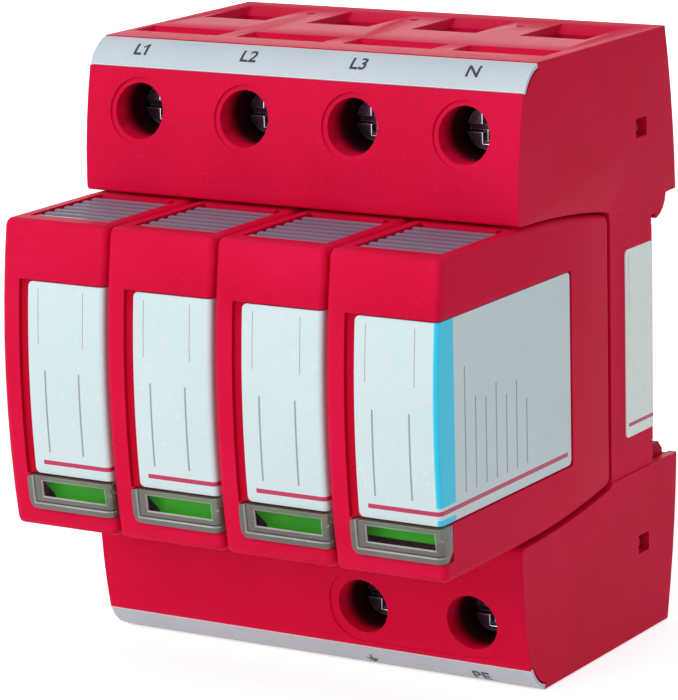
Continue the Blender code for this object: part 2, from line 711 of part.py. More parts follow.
def make_base_housing():
    """The red moulding: both terminal blocks, the bay wall between them and the walls between poles."""
    shell = prism(THROUGH_X, without_repeats(base_outline()), -WIDTH / 2, WIDTH / 2)
    shell = rounded_ends(shell, EDGE_ROUND)

    far_back = -2 * BACK_REACH
    cover_room = [
        (far_back, CHAMBER_TOP),
        (COVER_FRONT_UPPER + FIT_GAP, CHAMBER_TOP),
        (COVER_FRONT_UPPER + FIT_GAP, BLOCK_INNER - FIT_GAP),
        (COVER_PLATE + FIT_GAP, BLOCK_INNER - FIT_GAP),
        (COVER_PLATE + FIT_GAP, -CHAMBER_TOP),
        (far_back, -CHAMBER_TOP),
    ]
    cuts = [prism(THROUGH_X, cover_room, -INSIDE_HALF, INSIDE_HALF)]

    inner_wall = BAY_FLOOR - BAY_WALL
    chamber = [
        (CHAMBER_FRONT, CHAMBER_FLOOR),
        (CHAMBER_FRONT, TOP - COMB_ROOF),
        (COMB_BACK - FIT_GAP, TOP - COMB_ROOF),
        (COMB_BACK - FIT_GAP, CHAMBER_TOP - WALL_STEP),
        (COVER_FRONT_UPPER, CHAMBER_TOP - WALL_STEP),
        (COVER_FRONT_UPPER, WALL_STEP - CHAMBER_TOP),
        (COMB_BACK - FIT_GAP, WALL_STEP - CHAMBER_TOP),
        (COMB_BACK - FIT_GAP, COMB_ROOF - TOP),
        (CHAMBER_FRONT, COMB_ROOF - TOP),
        (CHAMBER_FRONT, -CHAMBER_FLOOR),
        (inner_wall, -CHAMBER_FLOOR),
        (inner_wall, CHAMBER_FLOOR),
    ]
    half = CHAMBER_WIDTH / 2
    over = WALL_TOP * 2
    for pole in range(POLES):
        x = pole_x(pole)
        cuts.append(prism(THROUGH_X, chamber, x - half, x + half))
        cuts += entry_cuts(x - ENTRY_SHIFT)
        if pole in LOWER_POLES:
            cuts += [mirrored_in_z(cut) for cut in entry_cuts(x - ENTRY_SHIFT)]
        for side in (1, -1):
            slot_z = blade_slot(side, FIT_GAP)
            slot_x = BLADE_THICKNESS / 2 + FIT_GAP
            cuts.append(box((x - slot_x, x + slot_x), (inner_wall - FIT_GAP, BAY_FLOOR + FIT_GAP), slot_z))
        pocket_x = LATCH_WIDTH / 2 + FIT_GAP * 2
        nose_depth = BUTTON_BACK - LATCH_REACH
        cuts.append(
            box(
                (x - pocket_x, x + pocket_x),
                (nose_depth - FIT_GAP * 2, nose_depth + LATCH_NOSE + FIT_GAP * 2),
                (MODULE_HALF_HEIGHT, BLOCK_FOOT + LATCH_POCKET_DEEP),
            )
        )

    for gap in range(POLES - 1):
        x = pole_x(gap) + POLE_PITCH / 2
        wall = (x - POLE_PITCH / 2, x + POLE_PITCH / 2)
        link = LINK_TALL / 2 + FIT_GAP * 2
        cuts.append(box(wall, (FIT_GAP, inner_wall), (-link, link)))
        cuts.append(dot_cut(x - DOT_SHIFT))
    earth_x = (pole_x(LOWER_POLES[0]), pole_x(LOWER_POLES[1]))
    earth_half = EARTH_LINK_TALL / 2 + FIT_GAP * 2
    earth_z = (-EARTH_LINK_HEIGHT - earth_half, -EARTH_LINK_HEIGHT + earth_half)
    cuts.append(box(earth_x, (FIT_GAP, inner_wall), earth_z))

    foot_half = FOOT_WIDTH / 2 + FOOT_RAIL + FIT_GAP
    for side in (-1, 1):
        foot_x = side * FOOT_OFFSET
        foot_way = (foot_x - foot_half, foot_x + foot_half)
        cuts.append(box(foot_way, (far_back, FIT_GAP - FOOT_FRONT), (-2 * TOP, -TOP + over)))
        wall_x = sorted((side * (INSIDE_HALF - WALL_SIDE), side * WIDTH))
        for z in (SNAP_HEIGHT, -SNAP_HEIGHT):
            snap_z = (z - SNAP_TALL / 2, z + SNAP_TALL / 2)
            cuts.append(box(wall_x, (SNAP_FRONT - SNAP_LENGTH, SNAP_FRONT), snap_z))
        waist_x = sorted((side * (WIDTH / 2 - WAIST_STEP), side * WIDTH))
        cuts.append(box(waist_x, (far_back, MODULE_BACK), (-RECESS_BELOW, BLOCK_INNER)))
    shell = worked(shell, cut=cuts)
    shell = worked(shell, cut=driver_cuts())
    return finished("base_housing", mesh_of(shell), RED_PLASTIC)


def entry_cuts(x):
    """A terminal's two sinks from the top: the funnel for its wire, and the blind slot for a comb bar."""
    wire = (WIRE_WIDTH, WIRE_FRONT, WIRE_BACK)
    funnel = hopper(x, (FUNNEL_WIDTH, FUNNEL_FRONT, FUNNEL_BACK), wire, FUNNEL_SLOPE)
    wire_x = (x - WIRE_WIDTH / 2, x + WIRE_WIDTH / 2)
    way = box(wire_x, (WIRE_BACK, WIRE_FRONT), (TOP - 2 * WALL_TOP, TOP - FUNNEL_SLOPE / 2))
    comb_floor = (COMB_WIDTH - 2 * COMB_DRAFT, COMB_FRONT - COMB_DRAFT / 2, COMB_BACK + COMB_DRAFT)
    comb = hopper(x, (COMB_WIDTH, COMB_FRONT, COMB_BACK), comb_floor, COMB_DEEP)
    return [worked(funnel, join=[way]), comb]


def dot_cut(x):
    """A small round sink in the top, between two wire openings."""
    outline = []
    for k in range(12):
        turn = 2 * math.pi * k / 12
        outline.append((x + DOT_RADIUS * math.cos(turn), DOT_DEPTH + DOT_RADIUS * math.sin(turn)))
    return prism(THROUGH_Z, outline, TOP - DOT_DEEP, TOP + DOT_DEEP)


def skin_of_brow(deep):
    """The outer skin of the upper block's curved front, down to an even depth."""
    inner = brow_line(deep)
    outer = [(depth + 2 * BROW_DROP, z) for depth, z in (inner[-1], inner[0])]
    return prism(THROUGH_X, inner + outer, -WIDTH, WIDTH)


def driver_cuts():
    """The round ways to the screws, each with a shallow ring, and the shallow panel round the lower two."""
    cuts = []
    hole = SCREW_RADIUS + FIT_GAP
    for side, poles in ((1, range(POLES)), (-1, LOWER_POLES)):
        z = side * DRIVER_HEIGHT
        for pole in poles:
            x = pole_x(pole)
            cuts.append(rod(x, z, DRIVER_RADIUS, SEAT_WALL_FRONT, BLOCK_FRONT * 1.2))
            cuts.append(rod(x, z, hole, CHAMBER_FRONT - FIT_GAP, SEAT_WALL_FRONT + FIT_GAP))
            if side > 0:
                ring = rod(x, z, RING_RADIUS, SEAT_WALL_FRONT, BLOCK_FRONT * 1.2)
                cuts.append(worked(ring, keep=[skin_of_brow(RING_DEEP)]))
    left, right = (pole_x(pole) for pole in LOWER_POLES)
    corners = [
        (left - PANEL_HALF, DRIVER_HEIGHT - PANEL_HALF, PANEL_HALF * 0.9),
        (left - PANEL_HALF, DRIVER_HEIGHT + PANEL_HALF, PANEL_HALF * 0.9),
        (right + PANEL_HALF, DRIVER_HEIGHT + PANEL_HALF, PANEL_HALF * 0.9),
        (right + PANEL_HALF, DRIVER_HEIGHT - PANEL_HALF, PANEL_HALF * 0.9),
    ]
    panel = prism(THROUGH_DEPTH, filleted(corners, 5), SEAT_WALL_FRONT, BLOCK_FRONT * 1.2)
    cuts.append(mirrored_in_z(worked(panel, keep=[skin_of_brow(PANEL_DEEP)])))
    return cuts


def make_marking_strips():
    """The two grey strips that clip over the curved edges of the blocks."""
    outer = strip_line(0.0)
    inner = strip_line(STRIP_THICKNESS)
    trimmed = []
    for line in (outer, inner):
        start, end = Vector(line[0]), Vector(line[-1])
        way = (end - start).normalized() * (SNUG_GAP / 2)
        trimmed.append([tuple(start + way)] + line[1:-1] + [tuple(end - way)])
    outline = trimmed[0] + trimmed[1][::-1]
    upper = prism(THROUGH_X, outline, -WIDTH / 2, WIDTH / 2)
    lower = mirrored_in_z(copy_of(upper))
    finished("upper_marking_strip", mesh_of(upper), GREY_STRIP)
    finished("lower_marking_strip", mesh_of(lower), GREY_STRIP)


def foot_room(side):
    """The T-shaped way in the rear cover that one rail foot slides in, and what holds its spring."""
    x = side * FOOT_OFFSET
    body = FOOT_WIDTH / 2 + FIT_GAP
    rails = body + FOOT_RAIL
    floor = FIT_GAP - FOOT_FRONT
    lip = -(FOOT_FRONT + FOOT_RAIL_THICK + FIT_GAP)
    tall = (-2 * TOP, -RAIL_HEIGHT / 4)
    wide = box((x - rails, x + rails), (lip, floor), tall)
    narrow = box((x - body, x + body), (-2 * BACK_REACH, floor), tall)
    return worked(wide, join=[narrow])


def spring_lug(side):
    """The fixed step that the lower end of a foot's spring stands on."""
    x = side * FOOT_OFFSET
    top = SPRING_TOP - SPRING_LENGTH - FIT_GAP
    half = SPRING_OUTER / 2
    reach = FOOT_FRONT + FIT_GAP + SPRING_OUTER
    return box((x - half, x + half), (-reach, FIT_GAP), (top - SPRING_LUG, top))


def back_pockets(wide, low, high, front):
    """The hollow behind the cover's skin, open to the terminal, and the shallow panel on its outside."""
    low, high = low + COVER_RIB, high - COVER_RIB
    inside = [(depth + COVER_SKIN + PANEL_SUNK, z) for depth, z in back_line(low, high, 4)]
    hollow = prism(THROUGH_X, inside + [(front + FIT_GAP, high), (front + FIT_GAP, low)], *wide)
    low, high = low - COVER_RIB + PANEL_MARGIN, high + COVER_RIB - PANEL_MARGIN
    sunk = [(depth + PANEL_SUNK, z) for depth, z in back_line(low, high, 4)]
    panel = prism(THROUGH_X, sunk + [(-2 * BACK_REACH, high), (-2 * BACK_REACH, low)], *wide)
    return [hollow, panel]


def make_rear_cover():
    """The back of the base: the rail seat with its fixed hook, and hollowed backs for the two blocks."""
    edge = CHAMBER_TOP - FIT_GAP
    upper = back_line(edge, BLOCK_INNER + FIT_GAP, 4)
    lower = back_line(-RECESS_BELOW - FIT_GAP, -edge, 4)
    front = [
        (COVER_PLATE, -edge),
        (COVER_PLATE, BLOCK_INNER - 2 * FIT_GAP),
        (COVER_FRONT_UPPER, BLOCK_INNER - 2 * FIT_GAP),
        (COVER_FRONT_UPPER, edge),
    ]
    outline = upper + hook_line() + seat_line(-RECESS_BELOW - FIT_GAP) + lower + front
    half = INSIDE_HALF - FIT_GAP
    cover = prism(THROUGH_X, outline, -half, half)

    lugs = []
    for side in (-1, 1):
        lug_x = sorted((side * (half - LUG_LENGTH), side * (half - WALL_STEP)))
        lug = [
            (-HOOK_SLOT, -RECESS_BELOW - 2 * FIT_GAP),
            (-HOOK_SLOT, LUG_TOP),
            (-BACK_REACH + 2 * HOOK_SLOT, LUG_TOP),
            (-BACK_REACH + HOOK_SLOT, LUG_TOP - HOOK_SLOT),
            (-BACK_REACH + HOOK_SLOT, -RECESS_BELOW - 2 * FIT_GAP),
        ]
        lugs.append(prism(THROUGH_X, lug, *lug_x))
        for z in (SNAP_HEIGHT, -SNAP_HEIGHT):
            arm_x = sorted((side * (half - SNAP_ARM), side * (half - WALL_STEP)))
            arm_z = (z - SNAP_TALL / 2 + FIT_GAP, z + SNAP_TALL / 2 - FIT_GAP)
            lugs.append(box(arm_x, (COVER_FRONT_UPPER - FIT_GAP, SNAP_FRONT), arm_z))
            tongue_x = sorted((side * (half - SNAP_ARM / 2), side * (WIDTH / 2 - 2 * FIT_GAP)))
            tongue_z = (z - SNAP_TONGUE / 2, z + SNAP_TONGUE / 2)
            lugs.append(box(tongue_x, (SNAP_FRONT - SNAP_LENGTH / 2, SNAP_FRONT - FIT_GAP), tongue_z))

    pockets = []
    for pole in range(POLES):
        x = pole_x(pole)
        low_x = max(x - POLE_PITCH / 2 + COVER_RIB / 2, -half + COVER_RIB)
        high_x = min(x + POLE_PITCH / 2 - COVER_RIB / 2, half - COVER_RIB)
        pockets += back_pockets((low_x, high_x), BLOCK_INNER + FIT_GAP, edge, COVER_FRONT_UPPER)
    inner = FOOT_OFFSET - FOOT_WIDTH / 2 - FOOT_RAIL - FIT_GAP - COVER_RIB
    for wide in ((-inner, -COVER_RIB / 2), (COVER_RIB / 2, inner)):
        low_pockets = back_pockets(wide, RECESS_BELOW + FIT_GAP, edge, COVER_PLATE)
        pockets += [mirrored_in_z(pocket) for pocket in low_pockets]
    rooms = [foot_room(side) for side in (-1, 1)]
    cover = worked(cover, join=lugs)
    cover = worked(cover, cut=pockets + rooms)
    cover = worked(cover, join=[spring_lug(side) for side in (-1, 1)])
    finished("rear_cover", mesh_of(cover), DARK_RED_PLASTIC)


def make_rail_foot(side_name, side):
    """A foot that slides down to let go of the rail's lower edge, and the spring that lifts it back."""
    x = side * FOOT_OFFSET
    nose = -RAIL_HEIGHT / 2 + FOOT_CATCH
    bottom = -TOP + FOOT_BOTTOM
    front = -FOOT_FRONT
    back_inset = 0.5 * MM
    slope = [(-back_reach(z) + back_inset, z) for z in (bottom, -0.75 * TOP, -RECESS_BELOW)]
    outline = slope + [
        (front - 0.7 * BACK_REACH, nose - 2.4 * FOOT_TIP_FLAT),
        (front - FOOT_TIP_FLAT, nose),
        (front, nose),
        (front, bottom),
    ]
    body_half = FOOT_WIDTH / 2
    foot = prism(THROUGH_X, outline, x - body_half, x + body_half)
    rail_top = -RECESS_BELOW - FIT_GAP
    rails_half = body_half + FOOT_RAIL
    rails = box((x - rails_half, x + rails_half), (front - FOOT_RAIL_THICK, front), (bottom, rail_top))
    shoulder = -RAIL_HEIGHT / 2 - FOOT_SHOULDER
    cuts = []
    for way in (-1, 1):
        side_x = sorted((x + way * FOOT_NOSE_WIDTH / 2, x + way * FOOT_WIDTH))
        cuts.append(box(side_x, (-2 * BACK_REACH, 0.0), (shoulder, 0.0)))
    window_half = SPRING_OUTER / 2 + FIT_GAP * 2
    window_low = SPRING_TOP - SPRING_LENGTH - SPRING_LUG - 2 * FIT_GAP
    window_high = SPRING_TOP + FIT_GAP
    spring_way = (x - window_half, x + window_half)
    cuts.append(box(spring_way, (-2 * BACK_REACH, 0.0), (window_low, window_high)))
    slot_low = bottom + FOOT_SLOT_HEIGHT
    slot_half = FOOT_SLOT_WIDTH / 2
    slot_way = (x - slot_half, x + slot_half)
    cuts.append(box(slot_way, (-2 * BACK_REACH, 0.0), (slot_low, slot_low + FOOT_SLOT_TALL)))
    foot = worked(foot, join=[rails], cut=cuts)
    place = (x, FOOT_FRONT, rail_top)
    finished(f"rail_foot_{side_name}", mesh_of(foot, place), DARK_RED_PLASTIC, place)

    coil = bpy.data.curves.new("coil", "CURVE")
    coil.dimensions = "3D"
    coil.bevel_depth = SPRING_WIRE / 2
    coil.bevel_resolution = 1
    coil.use_fill_caps = True
    per_turn = 10
    count = SPRING_TURNS * per_turn
    line = coil.splines.new("POLY")
    line.points.add(count)
    radius = (SPRING_OUTER - SPRING_WIRE) / 2
    rise = SPRING_LENGTH - SPRING_WIRE
    for k, point in enumerate(line.points):
        turn = 2 * math.pi * k / per_turn
        point.co = (radius * math.cos(turn), radius * math.sin(turn), rise * k / count - rise / 2, 1.0)
    spring = baked(in_shop(coil))
    middle = (x, FOOT_FRONT + FIT_GAP + SPRING_OUTER / 2, SPRING_TOP - SPRING_LENGTH / 2)
    finished(f"foot_spring_{side_name}", mesh_of(spring), SPRING_STEEL, middle)


def screw_mesh():
    """A terminal screw: a low round head with a slot and a cross, and a plain shank for its thread."""
    head_back = SEAT_WALL_FRONT + FIT_GAP
    head_front = head_back + HEAD_HEIGHT
    tip = TONGUE_DEPTH + BAR_THICKNESS + FIT_GAP
    profile = [
        (0.0, head_front),
        (HEAD_RADIUS - HEAD_CROWN, head_front),
        (HEAD_RADIUS, head_front - HEAD_CROWN),
        (HEAD_RADIUS, head_back),
        (SCREW_RADIUS, head_back),
        (SCREW_RADIUS, tip + HEAD_CROWN),
        (SCREW_RADIUS - HEAD_CROWN, tip),
        (0.0, tip),
    ]
    screw = turned(profile, 20)
    half = HEAD_SLOT / 2
    floor = head_front - HEAD_SLOT_DEEP
    slot = box((-HEAD_RADIUS * 1.2, HEAD_RADIUS * 1.2), (floor, head_front + half), (-half, half))
    cross = box((-half, half), (floor, head_front + half), (-HEAD_CROSS_REACH, HEAD_CROSS_REACH))
    return mesh_of(worked(screw, cut=[worked(slot, join=[cross])]))


def clamp_mesh():
    """A box clamp: a bent steel frame that the screw draws forward, with teeth for the wire."""
    back = CLAMP_FRONT - CLAMP_LENGTH
    half = CLAMP_WIDTH / 2
    outer = [
        (-half, back, CLAMP_CORNER),
        (-half, CLAMP_FRONT, CLAMP_CORNER),
        (half, CLAMP_FRONT, CLAMP_CORNER),
        (half, back, CLAMP_CORNER),
    ]
    frame = prism(THROUGH_Z, filleted(outer), -CLAMP_TALL / 2, CLAMP_TALL / 2)
    inner = half - CLAMP_SIDE
    inner_back = back + CLAMP_BACK
    teeth = []
    tooth_count = 4
    for k in range(2 * tooth_count + 1):
        tooth_x = -inner + 2 * inner * k / (2 * tooth_count)
        teeth.append((tooth_x, inner_back + (SERRATION if k % 2 else 0.0)))
    hole = teeth + [(inner, CLAMP_FRONT - CLAMP_NUT), (-inner, CLAMP_FRONT - CLAMP_NUT)]
    window = prism(THROUGH_Z, hole, -CLAMP_TALL, CLAMP_TALL)
    thread = rod(0.0, 0.0, SCREW_RADIUS + FIT_GAP, inner_back + 2 * SERRATION, CLAMP_FRONT + CLAMP_NUT, 20)
    return mesh_of(worked(frame, cut=[window, thread]))


def make_terminals():
    """Every terminal's screw and clamp, each about its own screw's axis."""
    screw = screw_mesh()
    clamp = clamp_mesh()
    for row, side, poles in (("upper", 1, range(POLES)), ("lower", -1, LOWER_POLES)):
        for pole in poles:
            place = (pole_x(pole), 0.0, side * DRIVER_HEIGHT)
            finished(f"{row}_screw_{pole + 1}", screw, SCREW_STEEL, place)
            finished(f"{row}_clamp_{pole + 1}", clamp, CLAMP_STEEL, place)


def tongue_blank(x):
    """The tongue in an upper clamp, its bend, and the leg down behind the bay wall to a fork."""
    leg_depth = BAY_FLOOR - BAY_WALL - FIT_GAP - BAR_THICKNESS / 2
    tongue_depth = TONGUE_DEPTH + BAR_THICKNESS / 2
    bend_end = CHAMBER_FLOOR + 2 * FIT_GAP
    line = [
        (tongue_depth, DRIVER_HEIGHT + TONGUE_PAST),
        (tongue_depth, bend_end + tongue_depth - leg_depth),
        (leg_depth, bend_end),
        (leg_depth, FORK_HEIGHT + BLADE_TALL / 2 + FIT_GAP),
    ]
    return prism(THROUGH_X, thick_line(line, BAR_THICKNESS), x - BAR_WIDTH / 2, x + BAR_WIDTH / 2)


def fork_blanks(x, side, low_reach=0.0):
    """Two springy walls either side of a blade, joined to the leg above it and to a link below."""
    front = BAY_FLOOR - BAY_WALL - FIT_GAP
    inner = BLADE_THICKNESS / 2 + SNUG_GAP
    far = FORK_HEIGHT + BLADE_TALL / 2 + BAR_THICKNESS
    near = FORK_HEIGHT - BLADE_TALL / 2 - low_reach
    tall = sorted((side * near, side * far))
    walls = []
    for way in (-1, 1):
        wall_x = sorted((x + way * inner, x + way * (inner + FORK_WALL)))
        walls.append(box(wall_x, (front - FORK_REACH, front), tall))
    return walls


def make_contact_bars():
    """Bars from the clamps to the forks: three phases, the neutral that joins them all, and the earth."""
    front = BAY_FLOOR - BAY_WALL - FIT_GAP
    back = front - BAR_THICKNESS
    half = BAR_WIDTH / 2
    low_edge = FORK_HEIGHT - BLADE_TALL / 2 - FIT_GAP
    last = POLES - 1
    for pole in range(last):
        x = pole_x(pole)
        bar = worked(tongue_blank(x), join=fork_blanks(x, 1))
        finished(f"phase_bar_{pole + 1}", mesh_of(bar), TINNED_COPPER)

    x = pole_x(last)
    link = LINK_TALL / 2
    pieces = fork_blanks(x, 1, BAR_THICKNESS)
    pieces.append(box((x - half, x + half), (back, front), (-link, low_edge)))
    pieces.append(box((pole_x(0) - half, x - half / 2), (back, front), (-link, link)))
    for pole in range(last):
        drop_x = pole_x(pole)
        pieces.append(box((drop_x - half, drop_x + half), (back, front), (-low_edge, -link / 2)))
        pieces += fork_blanks(drop_x, -1, BAR_THICKNESS)
    bar = worked(tongue_blank(x), join=pieces)
    finished("neutral_bar", mesh_of(bar), TINNED_COPPER)

    bar = worked(tongue_blank(x), join=fork_blanks(x, 1))
    first_x = pole_x(LOWER_POLES[0])
    earth_link = (EARTH_LINK_HEIGHT - EARTH_LINK_TALL / 2, EARTH_LINK_HEIGHT + EARTH_LINK_TALL / 2)
    side_leg = tongue_blank(first_x)
    trimmer = box((first_x - BAR_WIDTH, first_x + BAR_WIDTH), (0.0, 2 * BAY_FLOOR), (0.0, earth_link[0]))
    side_leg = worked(side_leg, cut=[trimmer])
    bridge = box((first_x - half / 2, x + half / 2), (back, front), earth_link)
    bar = mirrored_in_z(worked(bar, join=[bridge, side_leg]))
    finished("earth_bar", mesh_of(bar), TINNED_COPPER)


def module_outline(wall, front_wall, back, edge, back_edge):
    """A module's side outline, or one inside it by a wall's thickness, as far back as asked."""
    top = MODULE_HALF_HEIGHT - wall
    barrel = []
    count = 8
    for k in range(count + 1):
        z = -top + 2 * top * k / count
        radius = edge if k in (0, count) else 0.0
        barrel.append((barrel_depth(z, -front_wall), z, radius))
    taper = [(TAPER_START, top, 0.0)]
    for k in range(1, 5):
        depth = TAPER_START + (back - TAPER_START) * k / 5
        taper.append((depth, module_half_height(depth) - wall, 0.0))
    taper.append((back, module_half_height(back) - wall, back_edge))
    return filleted(barrel + taper + flipped(taper), 2)


def label_pocket():
    """The shallow pocket that the label lies in: across the front and round the right-hand edge."""
    ahead = MODULE_CROWN + LABEL_DEEP
    corners = [
        (LABEL_SIDE_BACK, LABEL_BOTTOM, LABEL_CORNER),
        (LABEL_SIDE_BACK, LABEL_TOP, LABEL_CORNER),
        (ahead, LABEL_TOP, 0.0),
        (ahead, LABEL_BOTTOM, 0.0),
    ]
    room = prism(THROUGH_X, filleted(corners), local_x(LABEL_LEFT), MODULE_RIGHT + FIT_GAP)
    core = prism(
        THROUGH_X,
        module_outline(0.0, LABEL_DEEP, MODULE_BACK, MODULE_EDGE, MODULE_REAR_EDGE),
        2 * MODULE_LEFT,
        MODULE_RIGHT - LABEL_DEEP,
    )
    core = rounded_ends(core, MODULE_SIDE_ROUND - LABEL_DEEP, SIDE_ROUND_STEPS)
    return worked(room, cut=[core])


def window_outline(grow=0.0):
    """The front view of the clear window, rounded at its left-hand corners."""
    left = local_x(WINDOW_LEFT) - grow
    low, high = WINDOW_BOTTOM - grow, WINDOW_TOP + grow
    right = MODULE_RIGHT + MODULE_EDGE
    return filleted(
        [
            (left, low, WINDOW_CORNER + grow),
            (left, high, WINDOW_CORNER / 2 + grow),
            (right, high, 0.0),
            (right, low, 0.0),
        ]
    )


def window_blank(grow, proud, back):
    """The window's solid block, which follows the module's rounded front and wraps its right edge."""
    block = prism(THROUGH_DEPTH, window_outline(grow), back, MODULE_CROWN + MODULE_EDGE)
    middle = (WINDOW_BOTTOM + WINDOW_TOP) / 2
    heights = [WINDOW_BOTTOM - 2 * MODULE_EDGE, middle, WINDOW_TOP + 2 * MODULE_EDGE]
    face = [(barrel_depth(z, proud), z) for z in heights]
    behind = [(back - MODULE_EDGE, heights[-1]), (back - MODULE_EDGE, heights[0])]
    slab = prism(THROUGH_X, face + behind, -POLE_PITCH, MODULE_RIGHT + grow)
    slab = rounded_ends(slab, MODULE_SIDE_ROUND, SIDE_ROUND_STEPS)
    return worked(block, keep=[slab])


def cap_mesh():
    """The red cup of a module, open at the plug end, with its window, button and label openings."""
    cup = prism(
        THROUGH_X,
        module_outline(0.0, 0.0, MODULE_BACK, MODULE_EDGE, MODULE_REAR_EDGE),
        MODULE_LEFT,
        MODULE_RIGHT,
    )
    cup = rounded_ends(cup, MODULE_SIDE_ROUND, SIDE_ROUND_STEPS)
    inside = MODULE_WIDTH / 2 - CAP_WALL
    room = prism(
        THROUGH_X,
        module_outline(CAP_WALL, CAP_FRONT_WALL, MODULE_BACK - CAP_WALL, 0.0, 0.0),
        -inside,
        inside,
    )
    cup = worked(cup, cut=[room])

    target = box(
        (-inside - FIT_GAP, inside + FIT_GAP),
        (TARGET_DEPTH - TARGET_WALL, TARGET_DEPTH),
        (-MODULE_HALF_HEIGHT + CAP_WALL / 2, PANE_TOP + FLAG_OVERLAP * 2),
    )
    cup = worked(cup, join=[target])

    opening_z = (MODULE_HALF_HEIGHT - 2 * CAP_WALL, MODULE_HALF_HEIGHT + CAP_WALL)
    button_x = (local_x(BUTTON_LEFT), BUTTON_RIGHT)
    button_hole = box(button_x, (BUTTON_BACK, BUTTON_FRONT), opening_z)
    notches = []
    for side_x in ((button_x[0], button_x[0] + BUTTON_NOTCH), (button_x[1] - BUTTON_NOTCH, button_x[1])):
        notches.append(box(side_x, (BUTTON_BACK - BUTTON_NOTCH, BUTTON_BACK + BUTTON_NOTCH), opening_z))
    button_hole = worked(button_hole, join=notches)
    nose_depth = BUTTON_BACK - LATCH_REACH
    nose_half = LATCH_WIDTH / 2 + FIT_GAP
    nose_hole = box(
        (-nose_half, nose_half), (nose_depth - FIT_GAP, nose_depth + LATCH_NOSE + FIT_GAP), opening_z
    )
    sight = box(
        (local_x(PANE_LEFT) - FIT_GAP, PANE_RIGHT),
        (TARGET_DEPTH + FIT_GAP, MODULE_CROWN),
        (PANE_BOTTOM - FIT_GAP, PANE_TOP + FIT_GAP),
    )
    window_room = window_blank(SNUG_GAP, MODULE_EDGE, WINDOW_BACK - SNUG_GAP)
    cup = worked(cup, cut=[button_hole, nose_hole, sight, window_room, label_pocket()])
    return mesh_of(cup)


def window_mesh():
    """The clear window: a hollow block with a thin pane in front of the flag."""
    block = window_blank(0.0, WINDOW_PROUD, WINDOW_BACK)
    hollow_face = [
        (barrel_depth(z, WINDOW_PROUD - PANE_THICKNESS), z) for z in (PANE_BOTTOM, PANE_TOP)
    ]
    hollow = prism(
        THROUGH_X,
        hollow_face + [(WINDOW_BACK - FIT_GAP, PANE_TOP), (WINDOW_BACK - FIT_GAP, PANE_BOTTOM)],
        local_x(PANE_LEFT),
        PANE_RIGHT,
    )
    low = WINDOW_BOTTOM
    corner = [
        (WINDOW_BACK - WINDOW_SIDE_CUT, low - WINDOW_SIDE_CUT),
        (WINDOW_BACK - WINDOW_SIDE_CUT, low + 1.9 * WINDOW_SIDE_CUT),
        (MODULE_CROWN - WINDOW_SIDE_CUT, low - WINDOW_SIDE_CUT / 2),
    ]
    wedge = prism(THROUGH_X, corner, PANE_RIGHT + FIT_GAP, POLE_PITCH)
    return mesh_of(worked(block, cut=[hollow, wedge]))


def flag_mesh(spark_gap):
    """The flag behind the window with its stem: a full one, or the low strip of the spark gap module."""
    left = local_x(PANE_LEFT) - FLAG_PAST
    right = PANE_RIGHT - FIT_GAP
    high = PANE_TOP + FLAG_OVERLAP
    low = high - FLAG_OVERLAP - GAP_FLAG_TALL if spark_gap else PANE_BOTTOM - FLAG_OVERLAP
    stem_left = right - FLAG_STEM_WIDTH
    stem_top = high + FLAG_STEM_TALL
    outline = [(left, high), (stem_left, high), (stem_left, stem_top), (right, stem_top)]
    if spark_gap:
        outline += [(right, low), (left, low)]
    else:
        outline += [(right, low), (left + FLAG_BEVEL, low), (left, low + FLAG_BEVEL)]
    return prism(THROUGH_DEPTH, outline, FLAG_DEPTH - FLAG_THICKNESS, FLAG_DEPTH)


def button_mesh():
    """The ribbed release button with the latch arm and nose under the module's roof."""
    left = local_x(BUTTON_LEFT) + FIT_GAP
    right = BUTTON_RIGHT - FIT_GAP
    front = BUTTON_FRONT - FIT_GAP
    back = BUTTON_BACK + FIT_GAP
    crest = MODULE_HALF_HEIGHT - BUTTON_SUNK
    valley = crest - RIB_TALL
    under = crest - BUTTON_THICK
    pitch = (front - back) / BUTTON_RIBS
    outline = [(back, under)]
    for rib in range(BUTTON_RIBS):
        start = back + rib * pitch
        outline += [(start, valley), (start + 0.3 * pitch, crest), (start + 0.6 * pitch, crest)]
    outline += [(front, valley), (front, under)]
    plate = prism(THROUGH_X, outline, left, right)
    nose_depth = BUTTON_BACK - LATCH_REACH
    roof = MODULE_HALF_HEIGHT - CAP_WALL - FIT_GAP
    arm_low = roof - LATCH_ARM
    latch = [
        (back + pitch, arm_low),
        (nose_depth, arm_low),
        (nose_depth, roof),
        (nose_depth + 0.35 * LATCH_NOSE, MODULE_HALF_HEIGHT - LATCH_SUNK),
        (nose_depth + LATCH_NOSE, MODULE_HALF_HEIGHT - LATCH_SUNK),
        (nose_depth + LATCH_NOSE, roof),
        (back + pitch, roof),
    ]
    arm = prism(THROUGH_X, latch, -LATCH_WIDTH / 2, LATCH_WIDTH / 2)
    return worked(plate, join=[arm])


def plate_mesh():
    """The module's end plate, which carries the two blades."""
    half = MODULE_WIDTH / 2 - CAP_WALL - FIT_GAP
    back = MODULE_BACK + PLATE_INSET
    tall = module_half_height(back) - CAP_WALL - FIT_GAP
    plate = box((-half, half), (back, back + PLATE_THICKNESS), (-tall, tall))
    slots = []
    slot_x = BLADE_THICKNESS / 2 + SNUG_GAP
    for side in (-1, 1):
        slot_z = blade_slot(side, SNUG_GAP)
        slots.append(box((-slot_x, slot_x), (back - FIT_GAP, back + PLATE_THICKNESS + FIT_GAP), slot_z))
    return mesh_of(worked(plate, cut=slots))


